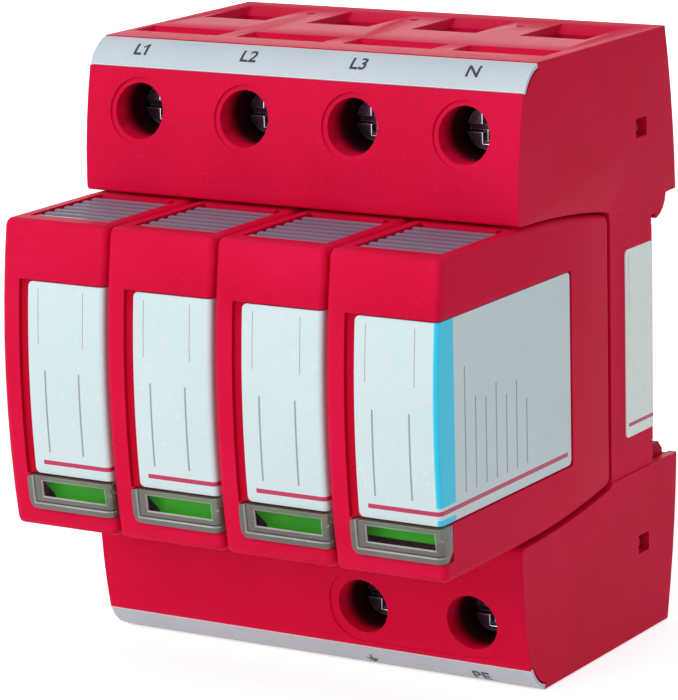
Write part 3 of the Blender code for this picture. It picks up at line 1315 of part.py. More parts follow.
def blade_mesh():
    """A flat blade along the depth, with its tip bevelled so that it finds the fork."""
    half = BLADE_TALL / 2
    tip = MODULE_BACK - BLADE_OUT
    inner = MODULE_BACK + PLATE_INSET + PLATE_THICKNESS + BLADE_IN
    lead = BLADE_THICKNESS
    outline = [
        (tip, -half + lead),
        (tip, half - lead),
        (tip + lead, half),
        (inner, half),
        (inner, -half),
        (tip + lead, -half),
    ]
    return mesh_of(prism(THROUGH_X, outline, -BLADE_THICKNESS / 2, BLADE_THICKNESS / 2))


def element_back():
    return MODULE_BACK + PLATE_INSET + PLATE_THICKNESS + BLADE_IN + FIT_GAP


def varistor_mesh():
    """The potted varistor block that fills a phase module, with rounded edges."""
    half = MODULE_WIDTH / 2 - CAP_WALL - FIT_GAP
    corners = [
        (element_back(), -ELEMENT_TALL / 2, ELEMENT_EDGE),
        (element_back(), ELEMENT_TALL / 2, ELEMENT_EDGE),
        (ELEMENT_FRONT, ELEMENT_TALL / 2, ELEMENT_EDGE),
        (ELEMENT_FRONT, -ELEMENT_TALL / 2, ELEMENT_EDGE),
    ]
    return mesh_of(prism(THROUGH_X, filleted(corners), -half, half))


def spark_gap_mesh():
    """The sealed capsule of the neutral module: metal ends and a ribbed ceramic body, as one solid."""
    back = element_back()
    start = ELEMENT_FRONT - CAPSULE_FLANGE
    profile = [(0.0, ELEMENT_FRONT), (CAPSULE_RADIUS, ELEMENT_FRONT), (CAPSULE_RADIUS, start)]
    end = back + CAPSULE_FLANGE
    pitch = (start - end) / CAPSULE_RIDGES
    ridge = (CAPSULE_RADIUS + CAPSULE_WAIST) / 2
    for k in range(CAPSULE_RIDGES):
        top = start - k * pitch
        profile += [(CAPSULE_WAIST, top), (CAPSULE_WAIST, top - 0.4 * pitch)]
        profile += [(ridge, top - 0.5 * pitch), (CAPSULE_WAIST, top - 0.6 * pitch)]
    profile += [(CAPSULE_WAIST, end), (CAPSULE_RADIUS, end), (CAPSULE_RADIUS, back), (0.0, back)]
    return mesh_of(turned(profile, 16))


def make_modules():
    """The four plug-in modules: three with a varistor, the last with a spark gap."""
    cap = cap_mesh()
    plate = plate_mesh()
    window = window_mesh()
    blade = blade_mesh()
    varistor = varistor_mesh()
    button_place = Vector((0.0, -(BUTTON_FRONT + BUTTON_BACK) / 2, MODULE_HALF_HEIGHT))
    flag_place = Vector((0.0, -FLAG_DEPTH, (PANE_TOP + PANE_BOTTOM) / 2))
    button = mesh_of(button_mesh(), button_place)
    phase_flag = mesh_of(flag_mesh(False), flag_place)
    gap_flag = mesh_of(flag_mesh(True), flag_place)
    for pole in range(POLES):
        number = pole + 1
        is_last = pole == POLES - 1
        centre = Vector((pole_x(pole), 0.0, 0.0))
        carrier = anchor(f"module_{number}", centre)
        finished(f"module_{number}_cap", cap, RED_PLASTIC, centre, carrier)
        finished(f"module_{number}_plate", plate, DARK_RED_PLASTIC, centre, carrier)
        finished(f"module_{number}_window", window, CLEAR_PLASTIC, centre, carrier)
        if is_last:
            finished(f"module_{number}_spark_gap", spark_gap_mesh(), CERAMIC, centre, carrier)
        else:
            finished(f"module_{number}_varistor", varistor, ELEMENT_BLUE, centre, carrier)
        for name, side in (("upper", 1), ("lower", -1)):
            place = centre + Vector((0.0, 0.0, side * FORK_HEIGHT))
            finished(f"module_{number}_{name}_blade", blade, TINNED_COPPER, place, carrier)
        flag = gap_flag if is_last else phase_flag
        finished(f"module_{number}_flag", flag, FLAG_GREEN, centre + flag_place, carrier)
        finished(f"module_{number}_button", button, BUTTON_GREY, centre + button_place, carrier)


make_base_housing()
make_marking_strips()
make_rear_cover()
make_rail_foot("left", -1)
make_rail_foot("right", 1)
make_terminals()
make_contact_bars()
make_modules()
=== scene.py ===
"""The looks of a four-pole surge arrester for a 35 mm rail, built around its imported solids."""

import json
import math

import bmesh
import bpy
from mathutils import Matrix, Vector
from mathutils.bvhtree import BVHTree
import numpy as np


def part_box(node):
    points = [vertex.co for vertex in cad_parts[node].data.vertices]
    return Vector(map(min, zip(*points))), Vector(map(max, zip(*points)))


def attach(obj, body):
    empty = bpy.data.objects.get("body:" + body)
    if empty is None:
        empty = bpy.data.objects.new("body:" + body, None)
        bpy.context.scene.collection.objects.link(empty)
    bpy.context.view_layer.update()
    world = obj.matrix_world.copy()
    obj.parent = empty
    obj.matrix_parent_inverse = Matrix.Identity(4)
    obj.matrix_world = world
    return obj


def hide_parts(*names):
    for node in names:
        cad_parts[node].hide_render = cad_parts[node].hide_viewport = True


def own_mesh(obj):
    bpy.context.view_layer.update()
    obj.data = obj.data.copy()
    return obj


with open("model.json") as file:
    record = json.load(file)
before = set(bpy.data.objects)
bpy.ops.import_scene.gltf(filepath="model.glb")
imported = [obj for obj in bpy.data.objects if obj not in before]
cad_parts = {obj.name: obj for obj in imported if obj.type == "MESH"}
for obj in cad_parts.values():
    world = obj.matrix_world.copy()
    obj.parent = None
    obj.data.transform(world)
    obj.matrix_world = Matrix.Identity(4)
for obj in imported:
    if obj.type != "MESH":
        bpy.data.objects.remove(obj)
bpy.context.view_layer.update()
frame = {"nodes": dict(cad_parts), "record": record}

# The base housing is one red moulding: two terminal blocks, the bay between them and the walls between
# the poles. The plastic is glass-filled polyamide with a fine spark-eroded grain. It is measured from the
# rail seat: depth in front of it, and height about the rail's centre line.
MM = 0.001
POLE_PITCH = 18.0 * MM
POLE_X = [(pole - 1.5) * POLE_PITCH for pole in range(4)]
PAST_SIDE = 40.0 * MM
SEAT = Vector(next(m["pos_m"] for m in frame["record"]["mounts"] if m["name"] == "rail_seat"))
GRAIN_SCALE = 3600.0
MOULDED_EDGE = 0.14 * MM
SHARP = math.radians(34.0)


def on_rail(x, depth, z):
    """A point of the part from its X, its depth in front of the rail seat and its height."""
    return SEAT + Vector((x, -depth, z))


def linear(red, green, blue):
    """A colour as it looks on a screen, 0 to 255, as the shader wants it."""
    return tuple((c / 255.0) ** 2.2 for c in (red, green, blue)) + (1.0,)


def add_node(tree, kind, settings=(), values=(), links=()):
    """A node with its settings, the values of some inputs, and the sockets that feed others."""
    node = tree.nodes.new(kind)
    for name, value in settings:
        setattr(node, name, value)
    for name, value in values:
        node.inputs[name].default_value = value
    for name, source in links:
        tree.links.new(source, node.inputs[name])
    return node


def calculate(tree, operation, *terms):
    """The outcome of a Math node, each of whose terms is a number or a socket."""
    node = add_node(tree, "ShaderNodeMath", settings=[("operation", operation)])
    for slot, term in zip(node.inputs, terms):
        if isinstance(term, (int, float)):
            slot.default_value = term
        else:
            tree.links.new(term, slot)
    return node.outputs[0]


def paint_over(finish, layers):
    """Lays colours over a finish's own, each where its mask is 1."""
    tree = finish.node_tree
    shader = tree.nodes["Principled BSDF"]
    ground = shader.inputs["Base Color"].links[0].from_socket
    for mask, colour in layers:
        ground = add_node(
            tree, "ShaderNodeMix", settings=[("data_type", "RGBA")], values=[(7, colour)],
            links=[(0, mask), (6, ground)],
        ).outputs[2]
    tree.links.new(ground, shader.inputs["Base Color"])


def start_group(name, inputs, outputs, kind="ShaderNodeTree"):
    """A node group with named inputs and outputs, and its two end nodes."""
    group = bpy.data.node_groups.new(name, kind)
    for label, socket, value in inputs:
        made = group.interface.new_socket(label, in_out="INPUT", socket_type=socket)
        if value is not None:
            made.default_value = value
    for label, socket in outputs:
        group.interface.new_socket(label, in_out="OUTPUT", socket_type=socket)
    return group, group.nodes.new("NodeGroupInput"), group.nodes.new("NodeGroupOutput")


def place_group(tree, group, values):
    node = tree.nodes.new("ShaderNodeGroup")
    node.node_tree = group
    for name, value in values:
        node.inputs[name].default_value = value
    return node


def make_moulded_grain():
    """Colour, roughness and height of a moulded plastic with a fine grain and slow clouding."""
    group, start, end = start_group(
        "moulded_grain",
        [
            ("Colour", "NodeSocketColor", (0.5, 0.5, 0.5, 1.0)),
            ("Clouded Colour", "NodeSocketColor", (0.4, 0.4, 0.4, 1.0)),
            ("Speck Colour", "NodeSocketColor", (0.6, 0.6, 0.6, 1.0)),
            ("Grain Scale", "NodeSocketFloat", GRAIN_SCALE),
            ("Roughness", "NodeSocketFloat", 0.5),
            ("Roughness Spread", "NodeSocketFloat", 0.1),
        ],
        [("Colour", "NodeSocketColor"), ("Roughness", "NodeSocketFloat"), ("Height", "NodeSocketFloat")],
    )
    where = add_node(group, "ShaderNodeTexCoord").outputs["Object"]
    fine = add_node(
        group, "ShaderNodeTexNoise", values=[("Detail", 2.0), ("Roughness", 0.6)],
        links=[("Vector", where), ("Scale", start.outputs["Grain Scale"])],
    ).outputs["Fac"]
    broad = add_node(
        group, "ShaderNodeTexNoise", values=[("Scale", 70.0), ("Detail", 3.0)], links=[("Vector", where)]
    ).outputs["Fac"]
    clouds = add_node(
        group, "ShaderNodeMapRange", values=[("From Min", 0.35), ("From Max", 0.65)], links=[("Value", broad)]
    ).outputs["Result"]
    clouded = add_node(
        group, "ShaderNodeMix", settings=[("data_type", "RGBA")],
        links=[(0, clouds), (6, start.outputs["Colour"]), (7, start.outputs["Clouded Colour"])],
    ).outputs[2]
    specks = add_node(
        group, "ShaderNodeMapRange", values=[("From Min", 0.58), ("From Max", 0.75)], links=[("Value", fine)]
    ).outputs["Result"]
    specked = add_node(
        group, "ShaderNodeMix", settings=[("data_type", "RGBA")],
        links=[(0, specks), (6, clouded), (7, start.outputs["Speck Colour"])],
    ).outputs[2]
    about_middle = calculate(group, "SUBTRACT", fine, 0.5)
    spread, middle = start.outputs["Roughness Spread"], start.outputs["Roughness"]
    rough = calculate(group, "MULTIPLY_ADD", about_middle, spread, middle)
    group.links.new(specked, end.inputs["Colour"])
    group.links.new(rough, end.inputs["Roughness"])
    group.links.new(fine, end.inputs["Height"])
    return group


MOULDED_GRAIN = make_moulded_grain()


def moulded(
    name, colour, clouded, speck, roughness, spread=0.1, bump=0.012 * MM, scale=GRAIN_SCALE, specular=0.5,
    tint=(1.0, 1.0, 1.0, 1.0),
):
    """A finish of grained plastic."""
    finish = bpy.data.materials.new(name)
    finish.use_nodes = True
    tree = finish.node_tree
    shader = tree.nodes["Principled BSDF"]
    grain = place_group(
        tree, MOULDED_GRAIN,
        [
            ("Colour", colour), ("Clouded Colour", clouded), ("Speck Colour", speck), ("Grain Scale", scale),
            ("Roughness", roughness), ("Roughness Spread", spread),
        ],
    )
    tree.links.new(grain.outputs["Colour"], shader.inputs["Base Color"])
    tree.links.new(grain.outputs["Roughness"], shader.inputs["Roughness"])
    relief = add_node(
        tree, "ShaderNodeBump", values=[("Strength", 0.6), ("Distance", bump)],
        links=[("Height", grain.outputs["Height"])],
    )
    tree.links.new(relief.outputs["Normal"], shader.inputs["Normal"])
    shader.inputs["Specular IOR Level"].default_value = specular
    shader.inputs["Specular Tint"].default_value = tint
    return finish


def plain_mesh(piece):
    """The piece's mesh with its modifiers worked out, and no modifier left on it."""
    graph = bpy.context.evaluated_depsgraph_get()
    mesh = bpy.data.meshes.new_from_object(piece.evaluated_get(graph))
    piece.modifiers.clear()
    piece.data = mesh
    return mesh


def new_piece(name, mesh, finish, body):
    piece = bpy.data.objects.new(name, mesh)
    bpy.context.scene.collection.objects.link(piece)
    mesh.materials.clear()
    mesh.materials.append(finish)
    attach(piece, body)
    return piece


def round_edges(piece, edge, finish=-1):
    piece.data.shade_smooth()
    piece.data.set_sharp_from_angle(angle=SHARP)
    rounding = piece.modifiers.new("rounding", "BEVEL")
    rounding.width = edge
    rounding.segments = 2
    rounding.limit_method = "ANGLE"
    rounding.angle_limit = SHARP
    rounding.use_clamp_overlap = True
    rounding.harden_normals = True
    rounding.material = finish
    plain_mesh(piece)


def softened(node, body, finish, edge=MOULDED_EDGE, highlight_finish=None):
    """A copy of a CAD node whose sharp edges are rounded a little, which stands for that node. A highlight
    finish, if given, goes on the rounded edges as a painted highlight.
    """
    mesh = frame["nodes"][node].data.copy()
    shape = bmesh.new()
    shape.from_mesh(mesh)
    bmesh.ops.remove_doubles(shape, verts=shape.verts, dist=0.002 * MM)
    bmesh.ops.dissolve_limit(shape, angle_limit=math.radians(0.4), verts=shape.verts, edges=shape.edges)
    shape.to_mesh(mesh)
    shape.free()
    piece = new_piece(node + "_shown", mesh, finish, body)
    if highlight_finish:
        mesh.materials.append(highlight_finish)
    round_edges(piece, edge, 1 if highlight_finish else -1)
    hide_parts(node)
    return piece


def shade_as_curve(piece, facing, along, low, high):
    """Shades the facets of a bowed face as one smooth curve, also where holes cut them up."""
    mesh = piece.data
    normals = [Vector(corner.vector) for corner in mesh.corner_normals]
    facing = Vector(facing)
    across = Vector((1.0, 0.0, 0.0)).cross(facing)
    facets = {}
    for face in mesh.polygons:
        middle = face.center
        inside = all(low[k] <= middle[k] <= high[k] for k in range(3))
        if not inside or abs(face.normal.x) > 0.02 or face.normal.dot(facing) < 0.94:
            continue
        lean = math.atan2(face.normal.dot(across), face.normal.dot(facing))
        facets.setdefault(round(math.degrees(lean), 1), []).append(face)
    knots = []
    for degrees, faces in facets.items():
        places = [mesh.vertices[v].co[along] for face in faces for v in face.vertices]
        knots.append(((min(places) + max(places)) / 2, math.radians(degrees)))
    knots.sort()
    places, leans = zip(*knots)
    for faces in facets.values():
        for face in faces:
            for corner in face.loop_indices:
                place = mesh.vertices[mesh.loops[corner].vertex_index].co[along]
                lean = float(np.interp(place, places, leans))
                normals[corner] = facing * math.cos(lean) + across * math.sin(lean)
    mesh.normals_split_custom_set(normals)


def shade_bows(piece, facing, depths, heights):
    """Shades a block's bowed faces above and below the rail, between two depths and two heights."""
    for side in (1, -1):
        start = on_rail(-PAST_SIDE, depths[0], side * heights[0])
        end = on_rail(PAST_SIDE, depths[1], side * heights[1])
        low = [min(pair) for pair in zip(start, end)]
        high = [max(pair) for pair in zip(start, end)]
        shade_as_curve(piece, facing, 2, low, high)


RED_SHEEN = (0.8, 0.66, 1.0, 1.0)
RED = moulded(
    "red_moulding", linear(226, 23, 68), linear(219, 19, 62), linear(233, 36, 80), 0.52, 0.16,
    bump=0.03 * MM, specular=0.08, tint=RED_SHEEN,
)
# A lighter, glossier red for the rounded edges of the housing and the caps: a painted highlight along the
# edges.
RED_EDGE_HIGHLIGHT = moulded(
    "red_painted_edge_highlight", linear(236, 46, 92), linear(230, 38, 84), linear(242, 64, 108), 0.42, 0.16,
    bump=0.02 * MM, specular=0.25, tint=RED_SHEEN,
)
WAY_RADIUS = 4.3 * MM
WAY_HEIGHT = 35.0 * MM
WAY_DARK_FROM = 38.6 * MM
WAY_DARK_AT = 35.2 * MM
WAY_DARK = linear(16, 8, 14)


def pole_axes(tree):
    """The place on the object: across its own pole, along Y and up."""
    where = add_node(tree, "ShaderNodeTexCoord").outputs["Object"]
    axes = add_node(tree, "ShaderNodeSeparateXYZ", links=[("Vector", where)])
    from_first = calculate(tree, "SUBTRACT", axes.outputs[0], POLE_X[0])
    across = calculate(tree, "WRAP", from_first, POLE_PITCH / 2, -POLE_PITCH / 2)
    return {"x": across, "depth": axes.outputs[1], "z": axes.outputs[2]}


def darkened_ways(finish):
    """Lets the red go black inside the drivers' ways, where no light of the room reaches the wall."""
    tree = finish.node_tree
    axes = pole_axes(tree)
    rise = calculate(tree, "ABSOLUTE", calculate(tree, "SUBTRACT", axes["z"], SEAT.z))
    rise = calculate(tree, "SUBTRACT", rise, WAY_HEIGHT)
    flat = add_node(tree, "ShaderNodeCombineXYZ", links=[("X", axes["x"]), ("Y", rise)])
    reach = add_node(
        tree, "ShaderNodeVectorMath", settings=[("operation", "LENGTH")], links=[(0, flat.outputs[0])]
    )
    within = calculate(tree, "LESS_THAN", reach.outputs["Value"], WAY_RADIUS)
    deep = add_node(
        tree, "ShaderNodeMapRange", settings=[("interpolation_type", "SMOOTHSTEP")],
        values=[("From Min", SEAT.y - WAY_DARK_FROM), ("From Max", SEAT.y - WAY_DARK_AT), ("To Max", 0.96)],
        links=[("Value", axes["depth"])],
    )
    paint_over(finish, [(calculate(tree, "MULTIPLY", within, deep.outputs["Result"]), WAY_DARK)])


HOUSING_RED = RED.copy()
HOUSING_RED.name = "housing_red"
darkened_ways(HOUSING_RED)
housing = softened("base_housing", "base", HOUSING_RED, highlight_finish=RED_EDGE_HIGHLIGHT)
shade_bows(housing, (0.0, -1.0, 0.0), (50.0 * MM, 37.5 * MM), (22.0 * MM, 42.0 * MM))

# The rear cover closes the two blocks and holds the rail: a fixed hook above and a raised seat between
# two bowed backs. It snaps into the housing, and is drawn in a slightly darker red of the same plastic.
DARK_RED = moulded(
    "dark_red_moulding", linear(196, 20, 58), linear(188, 17, 53), linear(206, 40, 76), 0.54, 0.16,
    bump=0.03 * MM, specular=0.08, tint=RED_SHEEN,
)
cover = softened("rear_cover", "base", DARK_RED)
shade_bows(cover, (0.0, 1.0, 0.0), (1.0 * MM, -9.0 * MM), (20.0 * MM, 46.0 * MM))

# The two rail feet slide down in the rear cover to let go of the rail. Each has a slot for a screwdriver
# at its lower end, and a window in which its spring stands.
# The feet take the same darker red, which on them is painted shade: they lie in shadow.
for side in ("left", "right"):
    softened(f"rail_foot_{side}", f"foot_{side}", DARK_RED)

# Each foot's spring is wound from 0.5 mm steel wire. It stands on a step of the cover, pushes the foot up
# and shortens as the foot goes down. It is drawn again here as a smooth coil.
SPRING_WIRE_RADIUS = 0.25 * MM
SPRING_TURNS = 5.0


def make_wound_wire():
    """A tree that winds a wire of any section about an axis, at a place and turned to a direction."""
    tree, start, end = start_group(
        "wound_wire",
        [
            ("Turns", "NodeSocketFloat", 5.0),
            ("Steps", "NodeSocketInt", 100),
            ("Radius", "NodeSocketFloat", 1.0 * MM),
            ("Length", "NodeSocketFloat", 5.0 * MM),
            ("Wire Radius", "NodeSocketFloat", 0.2 * MM),
            ("Wire Sides", "NodeSocketInt", 8),
            ("Place", "NodeSocketVector", (0.0, 0.0, 0.0)),
            ("Turned", "NodeSocketVector", (0.0, 0.0, 0.0)),
            ("Finish", "NodeSocketMaterial", None),
        ],
        [("Geometry", "NodeSocketGeometry")],
        "GeometryNodeTree",
    )
    coil = add_node(
        tree, "GeometryNodeCurveSpiral",
        links=[
            ("Resolution", start.outputs["Steps"]), ("Rotations", start.outputs["Turns"]),
            ("Start Radius", start.outputs["Radius"]), ("End Radius", start.outputs["Radius"]),
            ("Height", start.outputs["Length"]),
        ],
    )
    section = add_node(
        tree, "GeometryNodeCurvePrimitiveCircle",
        links=[("Resolution", start.outputs["Wire Sides"]), ("Radius", start.outputs["Wire Radius"])],
    )
    wire = add_node(
        tree, "GeometryNodeCurveToMesh", values=[("Fill Caps", True)],
        links=[("Curve", coil.outputs[0]), ("Profile Curve", section.outputs[0])],
    )
    placed = add_node(
        tree, "GeometryNodeTransform",
        links=[
            ("Geometry", wire.outputs[0]), ("Translation", start.outputs["Place"]),
            ("Rotation", start.outputs["Turned"]),
        ],
    )
    real = add_node(tree, "GeometryNodeRealizeInstances", links=[("Geometry", placed.outputs[0])])
    done = add_node(
        tree, "GeometryNodeSetMaterial",
        links=[("Geometry", real.outputs[0]), ("Material", start.outputs["Finish"])],
    )
    tree.links.new(done.outputs[0], end.inputs["Geometry"])
    return tree


WOUND_WIRE = make_wound_wire()


def grown_mesh(tree, values):
    """The plain mesh that a Geometry Nodes tree makes with these named inputs."""
    maker = bpy.data.objects.new("maker", bpy.data.meshes.new("maker"))
    bpy.context.scene.collection.objects.link(maker)
    step = maker.modifiers.new("grow", "NODES")
    step.node_group = tree
    for item in tree.interface.items_tree:
        if item.in_out == "INPUT" and item.name in values:
            step[item.identifier] = values[item.name]
    mesh = plain_mesh(maker)
    bpy.data.objects.remove(maker)
    shape = bmesh.new()
    shape.from_mesh(mesh)
    bmesh.ops.remove_doubles(shape, verts=shape.verts, dist=0.0005 * MM)
    bmesh.ops.recalc_face_normals(shape, faces=shape.faces)
    shape.to_mesh(mesh)
    shape.free()
    mesh.shade_smooth()
    mesh.set_sharp_from_angle(angle=math.radians(40.0))
    return mesh


def make_metal_drawing():
    """Colour, roughness and height of a metal that was drawn, rolled or turned: fine lines one way."""
    group, start, end = start_group(
        "metal_drawing",
        [
            ("Colour", "NodeSocketColor", (0.6, 0.6, 0.6, 1.0)),
            ("Stained Colour", "NodeSocketColor", (0.5, 0.5, 0.5, 1.0)),
            ("Stretch", "NodeSocketVector", (1.0, 1.0, 1.0)),
            ("Roughness", "NodeSocketFloat", 0.3),
        ],
        [("Colour", "NodeSocketColor"), ("Roughness", "NodeSocketFloat"), ("Height", "NodeSocketFloat")],
    )
    where = add_node(group, "ShaderNodeTexCoord").outputs["Object"]
    stretched = add_node(
        group, "ShaderNodeVectorMath", settings=[("operation", "MULTIPLY")],
        links=[(0, where), (1, start.outputs["Stretch"])],
    ).outputs[0]
    lines = add_node(
        group, "ShaderNodeTexNoise", values=[("Scale", 1.0), ("Detail", 2.0)], links=[("Vector", stretched)]
    ).outputs["Fac"]
    stains = add_node(
        group, "ShaderNodeTexNoise", values=[("Scale", 320.0), ("Detail", 4.0)], links=[("Vector", where)]
    ).outputs["Fac"]
    mixed = add_node(
        group, "ShaderNodeMix", settings=[("data_type", "RGBA")],
        links=[(0, stains), (6, start.outputs["Colour"]), (7, start.outputs["Stained Colour"])],
    ).outputs[2]
    rough = calculate(group, "MULTIPLY_ADD", lines, 0.18, start.outputs["Roughness"])
    group.links.new(mixed, end.inputs["Colour"])
    group.links.new(rough, end.inputs["Roughness"])
    group.links.new(lines, end.inputs["Height"])
    return group


METAL_DRAWING = make_metal_drawing()


def metal(name, colour, stained, stretch, roughness):
    """A finish of bare or plated metal."""
    finish = bpy.data.materials.new(name)
    finish.use_nodes = True
    tree = finish.node_tree
    shader = tree.nodes["Principled BSDF"]
    shader.inputs["Metallic"].default_value = 1.0
    drawn = place_group(
        tree, METAL_DRAWING,
        [("Colour", colour), ("Stained Colour", stained), ("Stretch", stretch), ("Roughness", roughness)],
    )
    tree.links.new(drawn.outputs["Colour"], shader.inputs["Base Color"])
    tree.links.new(drawn.outputs["Roughness"], shader.inputs["Roughness"])
    relief = add_node(
        tree, "ShaderNodeBump", values=[("Strength", 0.4), ("Distance", 0.01 * MM)],
        links=[("Height", drawn.outputs["Height"])],
    )
    tree.links.new(relief.outputs["Normal"], shader.inputs["Normal"])
    return finish


SPRING_STEEL = metal(
    "spring_steel", linear(176, 176, 180), linear(150, 148, 150), (4000.0, 4000.0, 600.0), 0.22
)
for side in ("left", "right"):
    low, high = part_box(f"foot_spring_{side}")
    middle = (low + high) / 2
    length = high.z - low.z - 2 * SPRING_WIRE_RADIUS
    spring = grown_mesh(
        WOUND_WIRE,
        {
            "Turns": SPRING_TURNS, "Steps": 180, "Length": length,
            "Radius": (high.x - low.x) / 2 - SPRING_WIRE_RADIUS,
            "Wire Radius": SPRING_WIRE_RADIUS, "Wire Sides": 10,
            "Place": (middle.x, middle.y, low.z + SPRING_WIRE_RADIUS), "Finish": SPRING_STEEL,
        },
    )
    piece = new_piece(f"foot_spring_{side}_coil", spring, SPRING_STEEL, f"foot_{side}")
    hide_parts(f"foot_spring_{side}")
    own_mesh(piece)

# The phase, neutral and earth bars are stamped from tinned copper strip and bent. They lie behind the bay
# wall and end in forks that grip the modules' blades.
TINNED_COPPER = metal(
    "tinned_copper", linear(206, 196, 178), linear(186, 168, 142), (900.0, 900.0, 5200.0), 0.3
)
for node in ("phase_bar_1", "phase_bar_2", "phase_bar_3", "neutral_bar", "earth_bar"):
    softened(node, "base", TINNED_COPPER, 0.08 * MM)

# A box clamp in each terminal, bent from plated steel with teeth for the wire. The screw draws it forward.
CLAMP_STEEL = metal(
    "clamp_steel", linear(196, 192, 178), linear(170, 164, 146), (3200.0, 700.0, 700.0), 0.3
)
TERMINALS = [("upper", pole) for pole in range(4)] + [("lower", pole) for pole in (2, 3)]
for row, pole in TERMINALS:
    name = f"{row}_clamp_{pole + 1}"
    softened(name, name, CLAMP_STEEL, 0.1 * MM)

# The terminal screws are plated steel, with a slot and a cross in a low head that shows at the bottom of
# the driver's way. The thread is a ridge rolled round the shank, which is drawn here over the CAD shank.
# The screw steel is drawn darker and more violet than plated steel: painted shade of the deep driver's way.
SCREW_STEEL = metal(
    "screw_steel", linear(118, 118, 134), linear(58, 54, 74), (2600.0, 500.0, 2600.0), 0.12
)
# A near-white, glossier steel for the screws' rounded edges: a painted glint on the slot, the cross and the
# rim.
SCREW_EDGE_GLINT = metal(
    "screw_painted_edge_glint", linear(238, 238, 246), linear(206, 206, 220), (900.0, 900.0, 900.0), 0.08
)
THREAD_PITCH = 0.8 * MM
THREAD_BACK = 15.4 * MM
THREAD_FRONT = 30.6 * MM
THREAD_TURNS = (THREAD_FRONT - THREAD_BACK) / THREAD_PITCH
THREAD_RIDGE = 0.2 * MM
SHANK_RADIUS = 2.5 * MM
for row, pole in TERMINALS:
    name = f"{row}_screw_{pole + 1}"
    softened(name, name, SCREW_STEEL, 0.14 * MM, SCREW_EDGE_GLINT)
    low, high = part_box(name)
    thread = grown_mesh(
        WOUND_WIRE,
        {
            "Turns": THREAD_TURNS, "Steps": int(20 * (THREAD_FRONT - THREAD_BACK) / THREAD_PITCH),
            "Radius": SHANK_RADIUS, "Length": THREAD_FRONT - THREAD_BACK, "Wire Radius": THREAD_RIDGE,
            "Wire Sides": 4, "Place": (POLE_X[pole], SEAT.y - THREAD_BACK, (low.z + high.z) / 2),
            "Turned": (math.pi / 2, 0.0, 0.0), "Finish": SCREW_STEEL,
        },
    )
    new_piece(f"{name}_thread", thread, SCREW_STEEL, name)

# Grey marking strips clip over the curved edges of the two blocks. They are a satin plastic, printed with
# the conductors' letters and the earth sign in dark ink.
STRIP_GREY = moulded(
    "strip_satin", linear(204, 214, 222), linear(196, 208, 217), linear(214, 222, 228), 0.42, 0.1,
    bump=0.008 * MM, scale=2600.0, specular=0.4,
)
# A paler finish for the strips' rounded edges: a painted highlight along them.
STRIP_EDGE_HIGHLIGHT = moulded(
    "strip_painted_edge_highlight", linear(232, 238, 244), linear(226, 233, 240), linear(240, 244, 248), 0.36, 0.1,
    bump=0.005 * MM, scale=2600.0, specular=0.4,
)
strips = {
    row: softened(f"{row}_marking_strip", "base", STRIP_GREY, 0.15 * MM, STRIP_EDGE_HIGHLIGHT)
    for row in ("upper", "lower")
}
INK = moulded(
    "dark_ink", linear(44, 46, 54), linear(38, 40, 48), linear(58, 60, 68), 0.42, 0.1, bump=0.003 * MM
)
STRIP_TOP = Vector((34.9 * MM, 45.0 * MM))
STRIP_FOOT = Vector((39.1 * MM, 41.2 * MM))
LETTER_TALL = 2.9 * MM
INK_LIFT = 0.03 * MM


def onto_strip(shape, x, side, strip):
    """Lays a flat mark, drawn about its middle in X and Y, on the bowed outside of a marking strip."""
    for k in range(-8, 9):
        bmesh.ops.bisect_plane(
            shape, geom=shape.verts[:] + shape.edges[:] + shape.faces[:],
            plane_co=(0.0, k * 0.25 * MM, 0.0), plane_no=(0.0, 1.0, 0.0),
        )
    surface = BVHTree.FromPolygons(
        [v.co for v in strip.data.vertices], [tuple(face.vertices) for face in strip.data.polygons]
    )
    along = STRIP_TOP - STRIP_FOOT
    outward = Vector((0.0, -along.y, side * -along.x)).normalized()
    for vert in shape.verts:
        share = 0.5 + side * vert.co.y / along.length
        depth, height = STRIP_FOOT + along * share
        start = on_rail(x + vert.co.x, depth, side * height) + outward * 3.0 * MM
        vert.co = surface.ray_cast(start, -outward)[0] + outward * (vert.co.z + INK_LIFT)


def letter_shape(letters):
    """A flat mark of slanted letters, about its middle."""
    text = bpy.data.curves.new("letters", "FONT")
    text.body = letters
    text.size = LETTER_TALL
    text.shear = 0.03
    text.align_x = "CENTER"
    text.align_y = "CENTER"
    text.offset = 0.035 * MM
    text.resolution_u = 4
    text.extrude = 0.03 * MM
    carrier = bpy.data.objects.new("letters", text)
    bpy.context.scene.collection.objects.link(carrier)
    graph = bpy.context.evaluated_depsgraph_get()
    mesh = bpy.data.meshes.new_from_object(carrier.evaluated_get(graph))
    bpy.data.objects.remove(carrier)
    shape = bmesh.new()
    shape.from_mesh(mesh)
    bpy.data.meshes.remove(mesh)
    bmesh.ops.remove_doubles(shape, verts=shape.verts, dist=0.0005 * MM)
    if letters.endswith("1"):
        right, top = max(vert.co.x for vert in shape.verts), max(vert.co.y for vert in shape.verts)
        add_bar(shape, (right / MM - 0.55, top / MM - 0.42, 0.26, 0.85), math.radians(-52.0))
    return shape


def add_bar(shape, bar, turn=0.0):
    """Adds a bar to a flat mark: its middle and size in X and Y, in millimetres, and how far it is turned."""
    x, y, wide, tall = bar
    made = bmesh.ops.create_cube(shape, size=1.0)["verts"]
    bmesh.ops.scale(shape, vec=(wide * MM, tall * MM, 0.06 * MM), verts=made)
    bmesh.ops.rotate(shape, verts=made, matrix=Matrix.Rotation(turn, 3, "Z"))
    bmesh.ops.translate(shape, vec=(x * MM, y * MM, 0.0), verts=made)


def bars_shape(bars):
    shape = bmesh.new()
    for bar in bars:
        add_bar(shape, bar)
    return shape


